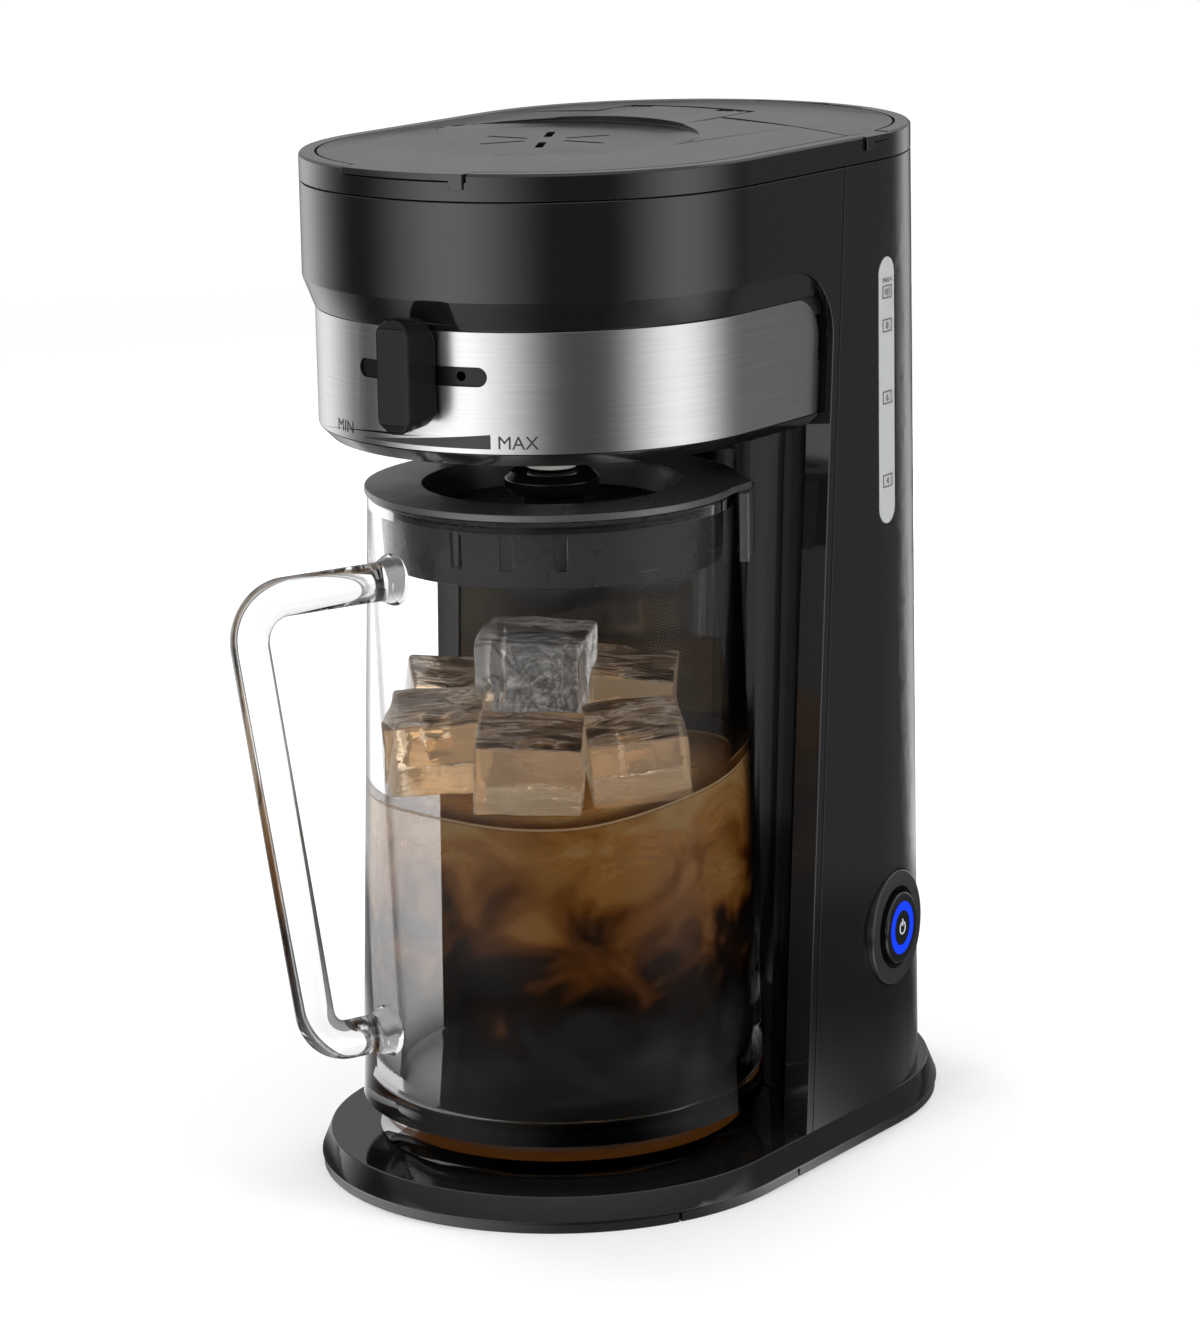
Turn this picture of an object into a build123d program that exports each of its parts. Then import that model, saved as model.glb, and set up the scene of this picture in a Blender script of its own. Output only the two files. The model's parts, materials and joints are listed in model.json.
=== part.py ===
from build123d import *
import math
import os

# Iced tea maker. Millimetres, +Z up, front towards -Y. The origin is where the
# brew axis, which is also the jug's axis, meets the table.

# ---------------------------------------------------------------- housing sizes
body_radius = 84.0        # front and rear arcs of the housing seen from above
body_centres = 78.0       # from the brew axis to the rear arc's centre at the top
rear_flare = 4.0          # how much further back the rear arc's centre is at the base
wall = 2.5                # moulded wall
total_height = 360.0      # top of the ring round the lids
ring_height = 9.4         # height of that ring
band_height = 32.5        # head band under the ring
lip_height = 10.0         # sloped lip under the band
panel_height = 40.6       # steel brew panel
rim_height = 4.7          # chamfered rim under the panel
panel_inset = 4.1         # steel panel's face behind the band's face
rim_inset = 4.5           # chamfer of the rim
panel_thickness = 0.8
seam_foot = 32.0          # y of the side seam at the table
seam_slope = 0.0741       # how far the seam goes back for each mm of height
strip_depth = 4.0         # side strip in front of the seam
strip_width = 10.0        # front face of each side strip
band_corner = 24.0        # round corner where the band turns down into the strip
panel_corner = 14.0       # round top corner of the steel panel
panel_end_gap = 3.0       # steel panel's end in front of the strip

# ------------------------------------------------------------------- base sizes
base_radius = 83.5
base_centres = 90.0
base_height = 12.3        # top of the base, where the jug stands
foot_height = 3.2         # thin foot rim
base_slope = 3.3          # how far the base flares out to its foot
rim_step = 0.5            # foot rim behind the flare
notch_width = 1.2
cover_floor = 1.6         # bottom cover's floor
foot_radius = 8.0
foot_recess = 1.8
foot_clear = 0.2          # foot in its pocket
foot_round = 0.6
foot_set_in = 16.0        # foot's middle inside the base's edge
boss_wall = 1.6           # boss over each foot
screw_radius = 1.5
screw_hole = 1.8
cover_edge = 6.0          # bottom cover's rim
cover_step = 2.0          # gap between its rim and its raised floor
foot_angle = 52.0         # where the feet stand on each arc
service_radius = 14.0     # wiring hole in the base
service_length = 18.0
pad_radius = 60.0
pad_height = 1.1
pad_groove = 0.5
pad_ring_step = 12.0
pad_recess = 0.8          # how far the pad is let into the base

# ------------------------------------------------------------------- lid sizes
ring_width = 5.5          # top face of the ring
lid_gap = 0.4
lid_seam = 69.0           # y of the seam between the two lids
tongue_half = 26.0        # half width of the front lid's hinge tongue
tongue_end = 90.0         # y of the tongue's end
dome_rise = 4.6           # middle of the lids above the ring
lid_depth = 3.4           # lid's skirt under the ring's top
lid_underside = 1.4       # lid's flat underside under the ring's top
dish_radius = 52.0
dish_floor_radius = 42.0
dish_drop = 2.4           # dish floor under the dome's crown
vent_count = 6
vent_inner = 8.0
vent_outer = 24.0
vent_width = 1.8
tab_half = 25.0           # front thumb tab
tab_thickness = 2.5
tab_overhang = 1.3
side_tab_start = 70.5     # tank lid's thumb tab on the right side
side_tab_end = 88.0
lug_length = 5.0          # catch lug under each tab
lug_height = 3.0
hinge_radius = 2.2        # lid barrel
pin_radius = 1.2
pin_gap = 0.05            # running fit of a lid on its pin
ear_width = 5.0
ear_gap = 0.4
ear_offset = 17.0         # ears' distance from the middle
saddle_width = 3.2
hinge_relief = 35.0       # tank lid is cut back this far each side, to swing clear of the ring
swing_gap = 1.0           # room for a lid's rear edge as it swings
barrel_gap = 0.5          # ring's notch in front of the tank lid's barrel
barrel_back_gap = 1.4     # and behind it, where the lid's edge stands when open
skirt_inset = 3.0         # wall of a lid's skirt
lug_gap = 0.3             # catch lug in front of the housing
tank_hinge_half = 12.0    # half length of the tank lid's barrel

# ------------------------------------------------------------ lever and drum
drum_wall = 2.5
shutter_thickness = 1.1
shutter_height = 14.0
shutter_gap = 0.4
slot_height = 6.4
slot_half_angle = 18.5
slot_rise = 25.5          # slot's middle over the steel panel's foot
lever_angle = 2.0         # slot's middle round from the front
lever_width = 12.4
lever_height = 38.0
lever_reach = 18.0        # lever stands out from the panel
lever_corner = 5.5
lever_gap = 0.9
stem_width = 6.0
sight_angle = 10.0        # sight holes beside the lever
lever_rest = 1.9          # lever stands this far past the slot's middle
lever_travel = 14.6       # degrees each way from the slot's middle

# ------------------------------------------------------------------ jug sizes
jug_foot_gap = 0.3        # jug over its pad
jug_headroom = 21.3       # drum's underside over the jug's rim
jug_inset = 9.4           # jug's foot inside the housing's front arc
jug_taper = 10.4          # jug's rim narrower than its foot
glass_wall = 3.0
jug_floor = 5.0
jug_fillet = 9.0
handle_angle = -20.0      # handle round from the front, towards -X
rod_radius = 6.7
handle_drop = 23.6        # upper weld under the jug's rim
handle_bottom = 46.5      # lower weld over the jug's foot
handle_stand_top = 61.3   # rod's upper corner in front of the rim's radius
handle_stand_bottom = 26.4
handle_bend = 14.0
weld_radius = 8.6
weld_depth = 2.5
flange_overhang = 0.8     # lid's flange past the rim of the glass
flange_thickness = 2.5
collar_gap = 2.6          # lid's collar inside the glass
collar_height = 24.0
collar_wall = 2.0
well_radius = 47.5        # recess in the jug's lid
well_depth = 9.5
tea_hole_radius = 7.0
knob_radius = 16.5
knob_height = 12.9
knob_neck = 11.0
spout_angle = 118.0       # spout cover round from the front, towards +X
spout_setback = 1.5       # beak's middle behind the flange's edge
spout_radius = 6.0
spout_drop = 24.0
spout_half_width = 11.0
drip_gap = 1.0

# -------------------------------------------------------------- tower contents
tank_gap = 0.7            # tank inside the rear shell
tank_front_gap = 2.8      # tank's hollow front behind the column panel
tank_bottom = 98.0
tank_wall = 2.0
tank_start = 70.0         # y where the tank's right lobe starts
relief_x = 44.0
relief_y = 88.0
deck_depth = 5.0          # deck under the ring's seam
deck_thickness = 2.5
deck_hole = 62.0
window_width = 12.0
window_height = 94.4
window_drop = 33.9        # gauge window's top under the ring's seam
window_y = 85.7
window_gap = 0.2
button_height = 73.0
button_angle = 6.7        # button's axis turned back from +X
bezel_radius = 20.9
bezel_depth = 8.0         # bezel's body behind the wall's face
bezel_proud = 0.7
bore_radius = 17.0
cap_radius = 13.0
cap_gap = 0.4
cap_proud = 2.6
cap_depth = 9.0
led_outer = 9.55
led_inner = 6.45
led_depth = 1.5
press_travel = 1.5
pusher_radius = 3.2       # pusher behind the button's cap
pusher_reach = 1.0        # pusher past the bezel's floor
switch_gap = 0.5
switch_width = 8.0
switch_height = 3.5
switch_plunger = 2.0
switch_plunger_rise = 0.3
board_width = 34.0
board_height = 46.0
board_thickness = 1.6
board_drop = 4.0          # board's middle under the button's axis
board_post_offset = 14.0
board_post_rise = 12.0
board_post_radius = 2.2
board_post_height = 3.2
gland_height = 34.0
gland_radius = 7.5
cord_radius = 3.6
gland_length = 9.0
basket_radius = 60.5
basket_foot_radius = 52.0
basket_depth = 73.6       # outside floor under the deck's top
nozzle_radius = 12.0
nozzle_bore = 5.0
stop_radius = 8.5
stop_thickness = 2.2
stop_lift = 3.0
stem_radius = 2.2
plug_radius = 7.0
plug_thickness = 2.0
basket_floor = 2.0
shower_radius = 38.0      # spreader plate under the front lid
shower_neck = 30.0
shower_drop = 4.5
shower_rim = 2.0
shower_floor = 1.5
shower_hub = 6.0
shower_bore = 1.2
shower_ring_inner = 14.0
shower_ring_outer = 24.0
shower_inner_count = 8
shower_outer_count = 14
seal_ring_height = 3.5    # silicone ring in the front lid
seal_ring_inner = 3.0     # its edges either side of the basket's rim
seal_ring_outer = 1.0
seal_ring_round = 0.8
spring_wire = 0.8
spring_radius = 7.2
spring_turns = 4
heater_radius = 8.0
heater_bore = 4.0
heater_height = 34.0
heater_half = 25.0
inlet_setback = 9.5       # boiler's inlet behind the tank's hollow front
heater_back_gap = 23.5    # boiler's bend in front of the rear wall's inside
heater_rise = 18.0        # ends of the boiler tube over its run
valve_bottom = 74.0
seal_thickness = 2.0
element_radius = 4.0
bracket_overhang = 5.0    # bracket past the boiler tube at each side
bracket_front = 2.0
bracket_back = 4.0
bracket_thickness = 2.0
bracket_frame = 18.0      # width of the bracket's front and rear bars
bracket_window = 12.0     # half width of the opening between them
bracket_post = 3.5
riser_inset = 16.0        # riser hose inside the housing's side
riser_y = 76.0
riser_radius = 4.5
riser_bore = 3.0
nozzle_x = -40.0          # where the water nozzle comes up through the deck
nozzle_reach_x = -26.0
nozzle_reach_y = 40.0
nozzle_lift = 5.6
seat_gap = 0.3
face_gap = 0.2            # between flat faces that belong to different pieces

# -------------------------------------------------------------- worked-out levels
ring_bottom = total_height - ring_height
band_bottom = ring_bottom - band_height
lip_bottom = band_bottom - lip_height
panel_top = lip_bottom - 0.3
panel_bottom = lip_bottom - panel_height
rim_bottom = panel_bottom - rim_height
slot_middle = panel_bottom + slot_rise
panel_radius = body_radius - panel_inset
skin_radius = panel_radius - panel_thickness
shutter_radius = skin_radius - shutter_gap
drum_radius = shutter_radius - shutter_thickness - shutter_gap
lid_radius = body_radius - ring_width - lid_gap
rear_y = body_centres + body_radius
lid_top = total_height
crown = total_height + dome_rise
deck_top = ring_bottom - deck_depth
pad_bottom = base_height - pad_recess
pad_top = pad_bottom + pad_height
jug_foot = pad_top + jug_foot_gap
jug_rim = rim_bottom - jug_headroom
jug_height = jug_rim - jug_foot
jug_bottom_radius = body_radius - jug_inset
jug_top_radius = jug_bottom_radius - jug_taper
handle_top = jug_height - handle_drop
handle_reach_top = jug_top_radius + handle_stand_top
handle_reach_bottom = jug_bottom_radius + handle_stand_bottom
flange_radius = jug_top_radius + flange_overhang
collar_radius = jug_top_radius - glass_wall - collar_gap
spout_reach = flange_radius - spout_setback
flange_top = jug_rim + seat_gap + flange_thickness
knob_top = flange_top - well_depth + seat_gap + knob_height
nozzle_bottom = knob_top + drip_gap + stop_thickness + seat_gap
basket_bottom = deck_top - basket_depth
window_bottom = ring_bottom - window_drop - window_height
riser_x = body_radius - riser_inset
heater_rear = body_centres + rear_flare + body_radius - wall - heater_back_gap
far = 400.0                 # longer than the whole object, for cutting


def seam_y(z):
    """y of the side seam at height z."""
    return seam_foot + seam_slope * z


def edge_y(z):
    """y of the tower's front edge at height z."""
    return seam_y(z) - strip_depth


def column_radius(z):
    """Radius round the brew axis of the column panel's hollow face at height z."""
    return math.hypot(body_radius - strip_width + seat_gap, edge_y(z))


tank_front = column_radius(rim_bottom) + wall + tank_front_gap
heater_front = tank_front + inlet_setback


# ------------------------------------------------------------------ shape helpers
def track(radius, centres, z=0.0):
    """Racetrack plan: two arcs of one radius, on the brew axis and behind it."""
    plan = SlotCenterToCenter(centres, 2 * radius, rotation=90)
    return Pos(0, centres / 2, z) * plan


def prism(plan, z0, z1):
    """A flat plan pulled up from z0 to z1."""
    return extrude(Pos(0, 0, z0) * plan, amount=z1 - z0)


def track_prism(radius, z0, z1, centres=body_centres):
    return prism(track(radius, centres), z0, z1)


def track_frustum(radius0, z0, radius1, z1, centres0=body_centres, centres1=body_centres):
    """Racetrack solid whose size changes steadily with height."""
    return loft([track(radius0, centres0, z0), track(radius1, centres1, z1)], ruled=True)


def disc(radius, z0, z1, x=0.0, y=0.0):
    """Upright cylinder from z0 to z1."""
    return Pos(x, y, z0) * Cylinder(radius, z1 - z0, align=(Align.CENTER, Align.CENTER, Align.MIN))


def block(x0, x1, y0, y1, z0, z1):
    """Box between two corners."""
    size = Box(x1 - x0, y1 - y0, z1 - z0, align=(Align.MIN, Align.MIN, Align.MIN))
    return Pos(x0, y0, z0) * size


def side_profile(points, half=far / 2):
    """Solid whose outline in the YZ plane is given as (y, z) points."""
    outline = make_face(Polyline(*[(0, y, z) for y, z in points], close=True))
    return extrude(outline, amount=half, dir=(1, 0, 0), both=True)


def turned(points):
    """Solid of revolution about Z from (radius, z) points."""
    outline = make_face(Polyline(*[(r, 0, z) for r, z in points], close=True))
    return revolve(outline, Axis.Z)


def rounded_side_profile(points, corner, radius, half=far / 2):
    """side_profile with the corner nearest to the given (y, z) point rounded."""
    solid = side_profile(points, half)
    y, z = corner
    edges = solid.edges().filter_by(Axis.X)
    edge = edges.sort_by(lambda e: abs(e.center().Y - y) + abs(e.center().Z - z))[0]
    return fillet(edge, radius)


def front_of(line, z0, z1, offset=0.0):
    """Everything in front of a leaning line, between two heights."""
    return side_profile([(-far, z0), (line(z0) + offset, z0), (line(z1) + offset, z1), (-far, z1)])


def behind(line, z0, z1, offset=0.0):
    """Everything behind a leaning line, between two heights."""
    return side_profile([(line(z0) + offset, z0), (far, z0), (far, z1), (line(z1) + offset, z1)])


def wedge(radius, z0, z1, angle0, angle1):
    """Slice of a disc between two angles, measured round from the front towards +X."""
    steps = [math.radians(angle0 + (angle1 - angle0) * i / 4) for i in range(5)]
    reach = 1.3 * radius
    points = [(0, 0)] + [(reach * math.sin(a), -reach * math.cos(a)) for a in steps]
    plan = make_face(Polyline(*points, close=True)) & Circle(radius)
    return prism(plan, z0, z1)


def arc_slot(inner, outer, middle, height, angle0, angle1):
    """Curved slot with round ends, cut through a wall round the brew axis."""
    half = height / 2
    end = math.degrees(half / outer)
    cut = wedge(outer, middle - half, middle + half, angle0 + end, angle1 - end)
    cut -= disc(inner, middle - half, middle + half)
    for angle in (angle0 + end, angle1 - end):
        hole = Rot(90, 0, 0) * Cylinder(half, outer, align=(Align.CENTER, Align.CENTER, Align.MIN))
        cut += Rot(0, 0, angle) * (Pos(0, 0, middle) * hole - disc(inner, middle - half, middle + half))
    return cut


def tube(points, radius, bend, bore=0.0):
    """Round tube along straight runs joined by arcs."""
    path = FilletPolyline(*points, radius=bend)
    start = Plane(origin=path @ 0, z_dir=path % 0)
    body = sweep(start * Circle(radius), path=path)
    if bore > 0:
        body -= sweep(start * Circle(bore), path=path)
    return body


def at_angle(shape, degrees):
    """Turn a shape that faces the front round the brew axis."""
    return Rot(0, 0, degrees) * shape


# ------------------------------------------------------------------------- base
def make_base_shell():
    flare = base_radius + base_slope
    body = track_prism(flare, foot_height, foot_height + 1.0, base_centres)
    body += track_frustum(flare, foot_height + 1.0, base_radius, base_height,
                          base_centres, base_centres)
    hollow = track_prism(base_radius - wall, 0, base_height - wall, base_centres)
    body -= hollow
    body -= disc(pad_radius + seat_gap, pad_bottom, base_height)
    service = track_prism(service_radius, base_height - wall, base_height, service_length)
    body -= Pos(0, heater_front + 8, 0) * service
    for x, y in foot_places():
        body += disc(foot_radius - 2, foot_height, base_height - wall, x, y)
    return body


def foot_places():
    """Middles of the four feet, set in from the base's two arcs."""
    reach = base_radius - foot_set_in
    a = math.radians(foot_angle)
    x = reach * math.sin(a)
    y = reach * math.cos(a)
    return [(x, -y), (-x, -y), (x, base_centres + y), (-x, base_centres + y)]


def make_bottom_cover():
    outer = base_radius + base_slope - rim_step
    body = track_prism(outer, 0, foot_height, base_centres)
    floor = track_prism(outer - cover_edge, cover_floor, foot_height, base_centres)
    body -= floor
    inside = outer - cover_edge - cover_step
    body += track_prism(inside, face_gap, foot_height - 2 * seat_gap, base_centres)
    for side in (-1, 1):
        for y in (-40, 20, base_centres + 40):
            cut = block(-notch_width / 2, notch_width / 2, -2, 2, 0, foot_height)
            x = side * math.sqrt(outer ** 2 - min(y, 0) ** 2 if y < base_centres
                                 else outer ** 2 - (y - base_centres) ** 2)
            turn = math.degrees(math.atan2(x, -min(y, 0) if y < base_centres
                                           else base_centres - y))
            body -= Pos(x, y, 0) * (Rot(0, 0, turn) * cut)
    for x, y in foot_places():
        body -= disc(foot_radius + foot_clear, 0, foot_recess, x, y)
        body += disc(foot_radius + boss_wall, foot_recess, foot_height, x, y)
        body -= disc(screw_hole, 0, foot_height, x, y)
    return body


def make_rubber_feet():
    feet = [disc(foot_radius, 0, foot_recess, x, y) for x, y in foot_places()]
    feet = [fillet(f.edges().sort_by(Axis.Z)[0], foot_round) for f in feet]
    return Compound(children=[f - disc(screw_hole, 0, far, x, y)
                              for f, (x, y) in zip(feet, foot_places())])


def make_bottom_screws():
    """Four pan-head screws that hold the bottom cover through the feet."""
    screws = []
    for x, y in foot_places():
        screw = disc(screw_radius, 0, foot_height - seat_gap, x, y)
        screws.append(screw)
    return Compound(children=screws)


def make_pitcher_pad():
    pad = disc(pad_radius, pad_bottom, pad_top)
    for i in range(3):
        ring = disc(pad_radius - pad_ring_step * (i + 1), pad_top - pad_groove, pad_top)
        ring -= disc(pad_radius - pad_ring_step * (i + 1) - 2, pad_top - pad_groove, pad_top)
        pad -= ring
    return pad


# ---------------------------------------------------------------------- housings
def make_front_housing():
    outline = [(-far / 2, band_bottom), (edge_y(band_bottom), band_bottom),
               (edge_y(base_height), base_height), (seam_y(base_height), base_height),
               (seam_y(ring_bottom), ring_bottom), (-far / 2, ring_bottom)]
    corner = (edge_y(band_bottom), band_bottom)
    region = rounded_side_profile(outline, corner, band_corner)
    body = track_prism(body_radius, base_height, ring_bottom)
    body -= track_prism(body_radius - wall, base_height, ring_bottom)
    body &= region
    strip = front_of(edge_y, base_height, band_bottom, wall)
    strip &= behind(edge_y, base_height, band_bottom)
    strip &= track_prism(body_radius, base_height, band_bottom)
    inner = body_radius - strip_width
    strip -= block(-inner, inner, -far, far, 0, total_height)
    strip -= front_of(edge_y, lip_bottom, band_bottom + 1, 0.2)
    body += strip
    lip = track_frustum(panel_radius + 0.3, lip_bottom, body_radius, band_bottom)
    lip -= track_prism(drum_radius, lip_bottom, band_bottom)
    lip &= front_of(edge_y, lip_bottom, band_bottom, wall)
    body += lip
    shelf = track_prism(body_radius - wall, band_bottom, band_bottom + 2)
    shelf -= track_prism(drum_radius, band_bottom, band_bottom + 2)
    shelf &= front_of(edge_y, lip_bottom, band_bottom + 2, wall)
    body += shelf
    return body


def make_rear_shell():
    base_back = body_centres + rear_flare
    outer = track_frustum(body_radius, base_height, body_radius, ring_bottom,
                          base_back, body_centres)
    inner_radius = body_radius - wall
    inner = track_frustum(inner_radius, base_height, inner_radius, ring_bottom,
                          base_back, body_centres)
    body = outer - inner
    body &= behind(seam_y, base_height, ring_bottom, lid_gap)
    body -= window_cutter(window_gap)
    body -= button_tool(bezel_radius + seat_gap)
    body -= gland_tool(gland_radius)
    return body


def window_cutter(gap):
    """Upright slot through the right wall, with a gap all round."""
    shape = SlotOverall(window_height + 2 * gap, window_width + 2 * gap, rotation=90)
    face = Plane.YZ * (Pos(window_y, window_bottom + window_height / 2) * shape)
    return Pos(body_radius - 8, 0, 0) * extrude(face, amount=20)


def make_water_window():
    base_back = body_centres + rear_flare
    outer = track_frustum(body_radius, base_height, body_radius, ring_bottom,
                          base_back, body_centres)
    inner_radius = body_radius - wall
    inner = track_frustum(inner_radius, base_height, inner_radius, ring_bottom,
                          base_back, body_centres)
    return (outer - inner) & window_cutter(0)


def button_place():
    """Plane on the housing's right wall, facing out along the button's axis."""
    a = math.radians(button_angle)
    arc_y = body_centres + rear_flare * (1 - button_height / ring_bottom)
    origin = (body_radius * math.cos(a), arc_y + body_radius * math.sin(a), button_height)
    return Plane(origin=origin, x_dir=(-math.sin(a), math.cos(a), 0),
                 z_dir=(math.cos(a), math.sin(a), 0))


def button_tool(radius, start=-20.0, end=20.0):
    """Cylinder on the button's axis, from start to end in front of the wall."""
    return button_place() * (Pos(0, 0, start) * Cylinder(
        radius, end - start, align=(Align.CENTER, Align.CENTER, Align.MIN)))


def make_button_bezel():
    flange = button_tool(bezel_radius, -bezel_depth, bezel_proud)
    flange = chamfer(flange.edges().sort_by(lambda e: e.center().X)[-1], 0.5)
    sleeve = button_tool(bore_radius, -cap_depth - 3, -bezel_depth)
    body = flange + sleeve
    body -= button_tool(cap_radius + 2.0, -cap_depth, 3)
    guide = button_tool(cap_radius + 2.0, -cap_depth, -cap_depth + 4)
    guide -= button_tool(cap_radius + cap_gap, -cap_depth, -cap_depth + 4)
    body += guide
    body -= button_tool(4.0, -cap_depth - 3, -cap_depth)
    return body


def make_power_button():
    cap = button_tool(cap_radius, -cap_depth + press_travel + switch_gap, cap_proud)
    rim = cap.edges().sort_by(lambda e: e.center().X)[-1]
    cap = fillet(rim, 1.0)
    groove = button_tool(led_outer, cap_proud - led_depth, cap_proud + 1)
    groove -= button_tool(led_inner, cap_proud - led_depth, cap_proud + 1)
    cap -= groove
    cap += button_tool(pusher_radius, -cap_depth - pusher_reach, -cap_depth + press_travel + switch_gap)
    return cap


def make_led_ring():
    ring = button_tool(led_outer, cap_proud - led_depth, cap_proud)
    return ring - button_tool(led_inner, cap_proud - led_depth, cap_proud)


def switch_face():
    """Face of the switch's body on the button's axis, behind the cap's pusher at full travel."""
    return -cap_depth - pusher_reach - press_travel - switch_gap


def make_tact_switch():
    back = switch_face()
    body = Box(switch_width, switch_width, switch_height, align=(Align.CENTER, Align.CENTER, Align.MIN))
    body = button_place() * (Pos(0, 0, back - switch_height) * body)
    return body + button_tool(switch_plunger, back, back + switch_plunger_rise)


def make_control_board():
    back = switch_face() - switch_height
    board = Box(board_width, board_height, board_thickness, align=(Align.CENTER, Align.CENTER, Align.MIN))
    board = button_place() * (Pos(0, -board_drop, back - board_thickness) * board)
    for offset in (-board_post_offset, board_post_offset):
        post = Cylinder(board_post_radius, board_post_height, align=(Align.CENTER, Align.CENTER, Align.MIN))
        board += button_place() * (Pos(offset, board_post_rise, back) * post)
    return board


def gland_tool(radius, start=-6.0, end=6.0):
    """Cylinder through the rear wall where the mains lead comes in."""
    wall_y = rear_y + rear_flare * (1 - gland_height / ring_bottom)
    rod = Rot(-90, 0, 0) * Cylinder(radius, end - start,
                                    align=(Align.CENTER, Align.CENTER, Align.MIN))
    return Pos(0, wall_y + start, gland_height) * rod


def make_cord_gland():
    body = gland_tool(gland_radius - 0.1, -wall - 3.0, 0.5)
    body += gland_tool(gland_radius + 2.0, 0.4, 2.0)
    body += gland_tool(gland_radius + 1.5, -wall - 3.0, -wall - 0.9)
    nose = gland_tool(gland_radius - 2.0, 0.5, gland_length - 2.0)
    body += nose
    return body - gland_tool(cord_radius, -10, gland_length)


def make_column_panel():
    """Concave front wall of the tower; it follows the jug and leans with the edge."""
    z0 = base_height + seat_gap
    z1 = rim_bottom - seat_gap
    r0 = column_radius(z0)
    r1 = column_radius(z1)
    shell = turned([(r0, z0), (r0 + wall, z0), (r1 + wall, z1), (r1, z1)])
    shell &= behind(edge_y, z0, z1, face_gap)
    inside = body_radius - strip_width - seat_gap
    return shell & block(-inside, inside, 0, far, 0, total_height)


# -------------------------------------------------------------------------- drum
def drum_zone(z0, z1, offset):
    return front_of(edge_y, z0, z1, offset)


def make_drum_shell():
    z0, z1 = panel_bottom + 0.3, lip_bottom - 0.2
    body = track_prism(drum_radius, z0, z1)
    pocket0 = slot_middle - shutter_height / 2 - 1.0
    pocket1 = slot_middle + shutter_height / 2 + 1.0
    body += track_prism(skin_radius - 0.1, z0, pocket0)
    body += track_prism(skin_radius - 0.1, pocket1, z1)
    body -= track_prism(drum_radius - drum_wall, z0, z1)
    body &= drum_zone(z0, z1, -seat_gap)
    window = arc_slot(drum_radius - 10, skin_radius + 5, slot_middle, slot_height + 2,
                      lever_angle - slot_half_angle - 2, lever_angle + slot_half_angle + 2)
    return body - window


def make_brew_panel():
    body = track_prism(panel_radius, panel_bottom, panel_top)
    body -= track_prism(skin_radius, panel_bottom, panel_top)
    end = [edge_y(z) - panel_end_gap for z in (panel_bottom, panel_top)]
    outline = [(-far / 2, panel_bottom), (end[0], panel_bottom), (end[1], panel_top),
               (-far / 2, panel_top)]
    body &= rounded_side_profile(outline, (end[1], panel_top), panel_corner)
    slot = arc_slot(drum_radius, panel_radius + 5, slot_middle, slot_height,
                    lever_angle - slot_half_angle, lever_angle + slot_half_angle)
    return body - slot


def make_drum_rim():
    top = panel_bottom - 0.2
    body = track_frustum(panel_radius - rim_inset, rim_bottom, panel_radius, top)
    body &= drum_zone(rim_bottom, top, -seat_gap)
    r_column = math.hypot(body_radius - strip_width, edge_y(rim_bottom))
    inside = body_radius - strip_width - seat_gap
    back = disc(r_column + wall, rim_bottom, rim_bottom + wall)
    back &= block(-inside, inside, edge_y(rim_bottom) - 4, far, 0, far)
    body += back
    body -= prism(Circle(drum_radius - drum_wall), rim_bottom + wall, top)
    body -= block(-drum_radius + drum_wall, drum_radius - drum_wall, 0, far, rim_bottom + wall, top)
    body -= disc(nozzle_radius + 4, 0, far)
    lip = disc(nozzle_radius + 7, rim_bottom - 2.0, rim_bottom + wall)
    body += lip - disc(nozzle_radius + 4, 0, far)
    return body


def make_strength_lever():
    back = panel_radius + lever_gap
    front = panel_radius + lever_reach
    low = slot_middle + 1.6 - lever_height / 2
    high = low + lever_height
    side = [(-back, low + 4.5), (-back - 3.5, low + 1.2), (-front + 1.4, low), (-front, low + 3),
            (-front, high - 3), (-front + 1.4, high), (-back - 4.5, high - 0.8),
            (-back, slot_middle + 12.0)]
    body = side_profile(side, lever_width / 2)
    face = RectangleRounded(lever_width, lever_height, lever_corner)
    face = Plane.XZ * (Pos(0, (low + high) / 2) * face)
    body &= extrude(face, amount=far / 2)
    stem = block(-stem_width / 2, stem_width / 2, -back - 2, -shutter_radius + 0.1,
                 slot_middle - slot_height / 2 + 0.4, slot_middle + slot_height / 2 - 0.4)
    stem -= disc(shutter_radius, 0, far)
    return at_angle(body + stem, lever_angle + lever_rest)


def make_lever_carriage():
    half = slot_half_angle + lever_travel + 1.0
    z0 = slot_middle - shutter_height / 2
    z1 = slot_middle + shutter_height / 2
    body = wedge(shutter_radius, z0, z1, -half, half)
    body -= disc(shutter_radius - shutter_thickness, z0, z1)
    hole = Rot(90, 0, 0) * Cylinder(1.6, far, align=(Align.CENTER, Align.CENTER, Align.MIN))
    for angle in (-sight_angle, sight_angle):
        body -= at_angle(Pos(0, 0, slot_middle) * hole, angle)
    return at_angle(body, lever_angle + lever_rest)


# ------------------------------------------------------------------- top and lids
def dome(drop=0.0):
    """Vaulted solid under the lids' top faces, with round ends."""
    rise = dome_rise
    radius = (lid_radius ** 2 + rise ** 2) / (2 * rise)
    top = crown - drop
    vault = Rot(-90, 0, 0) * Cylinder(radius, body_centres,
                                      align=(Align.CENTER, Align.CENTER, Align.MIN))
    ball = Sphere(radius)
    body = Pos(0, 0, top - radius) * (vault + ball + Pos(0, body_centres, 0) * ball)
    return body & track_prism(lid_radius + 8, ring_bottom - 10, crown + 10)


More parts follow.
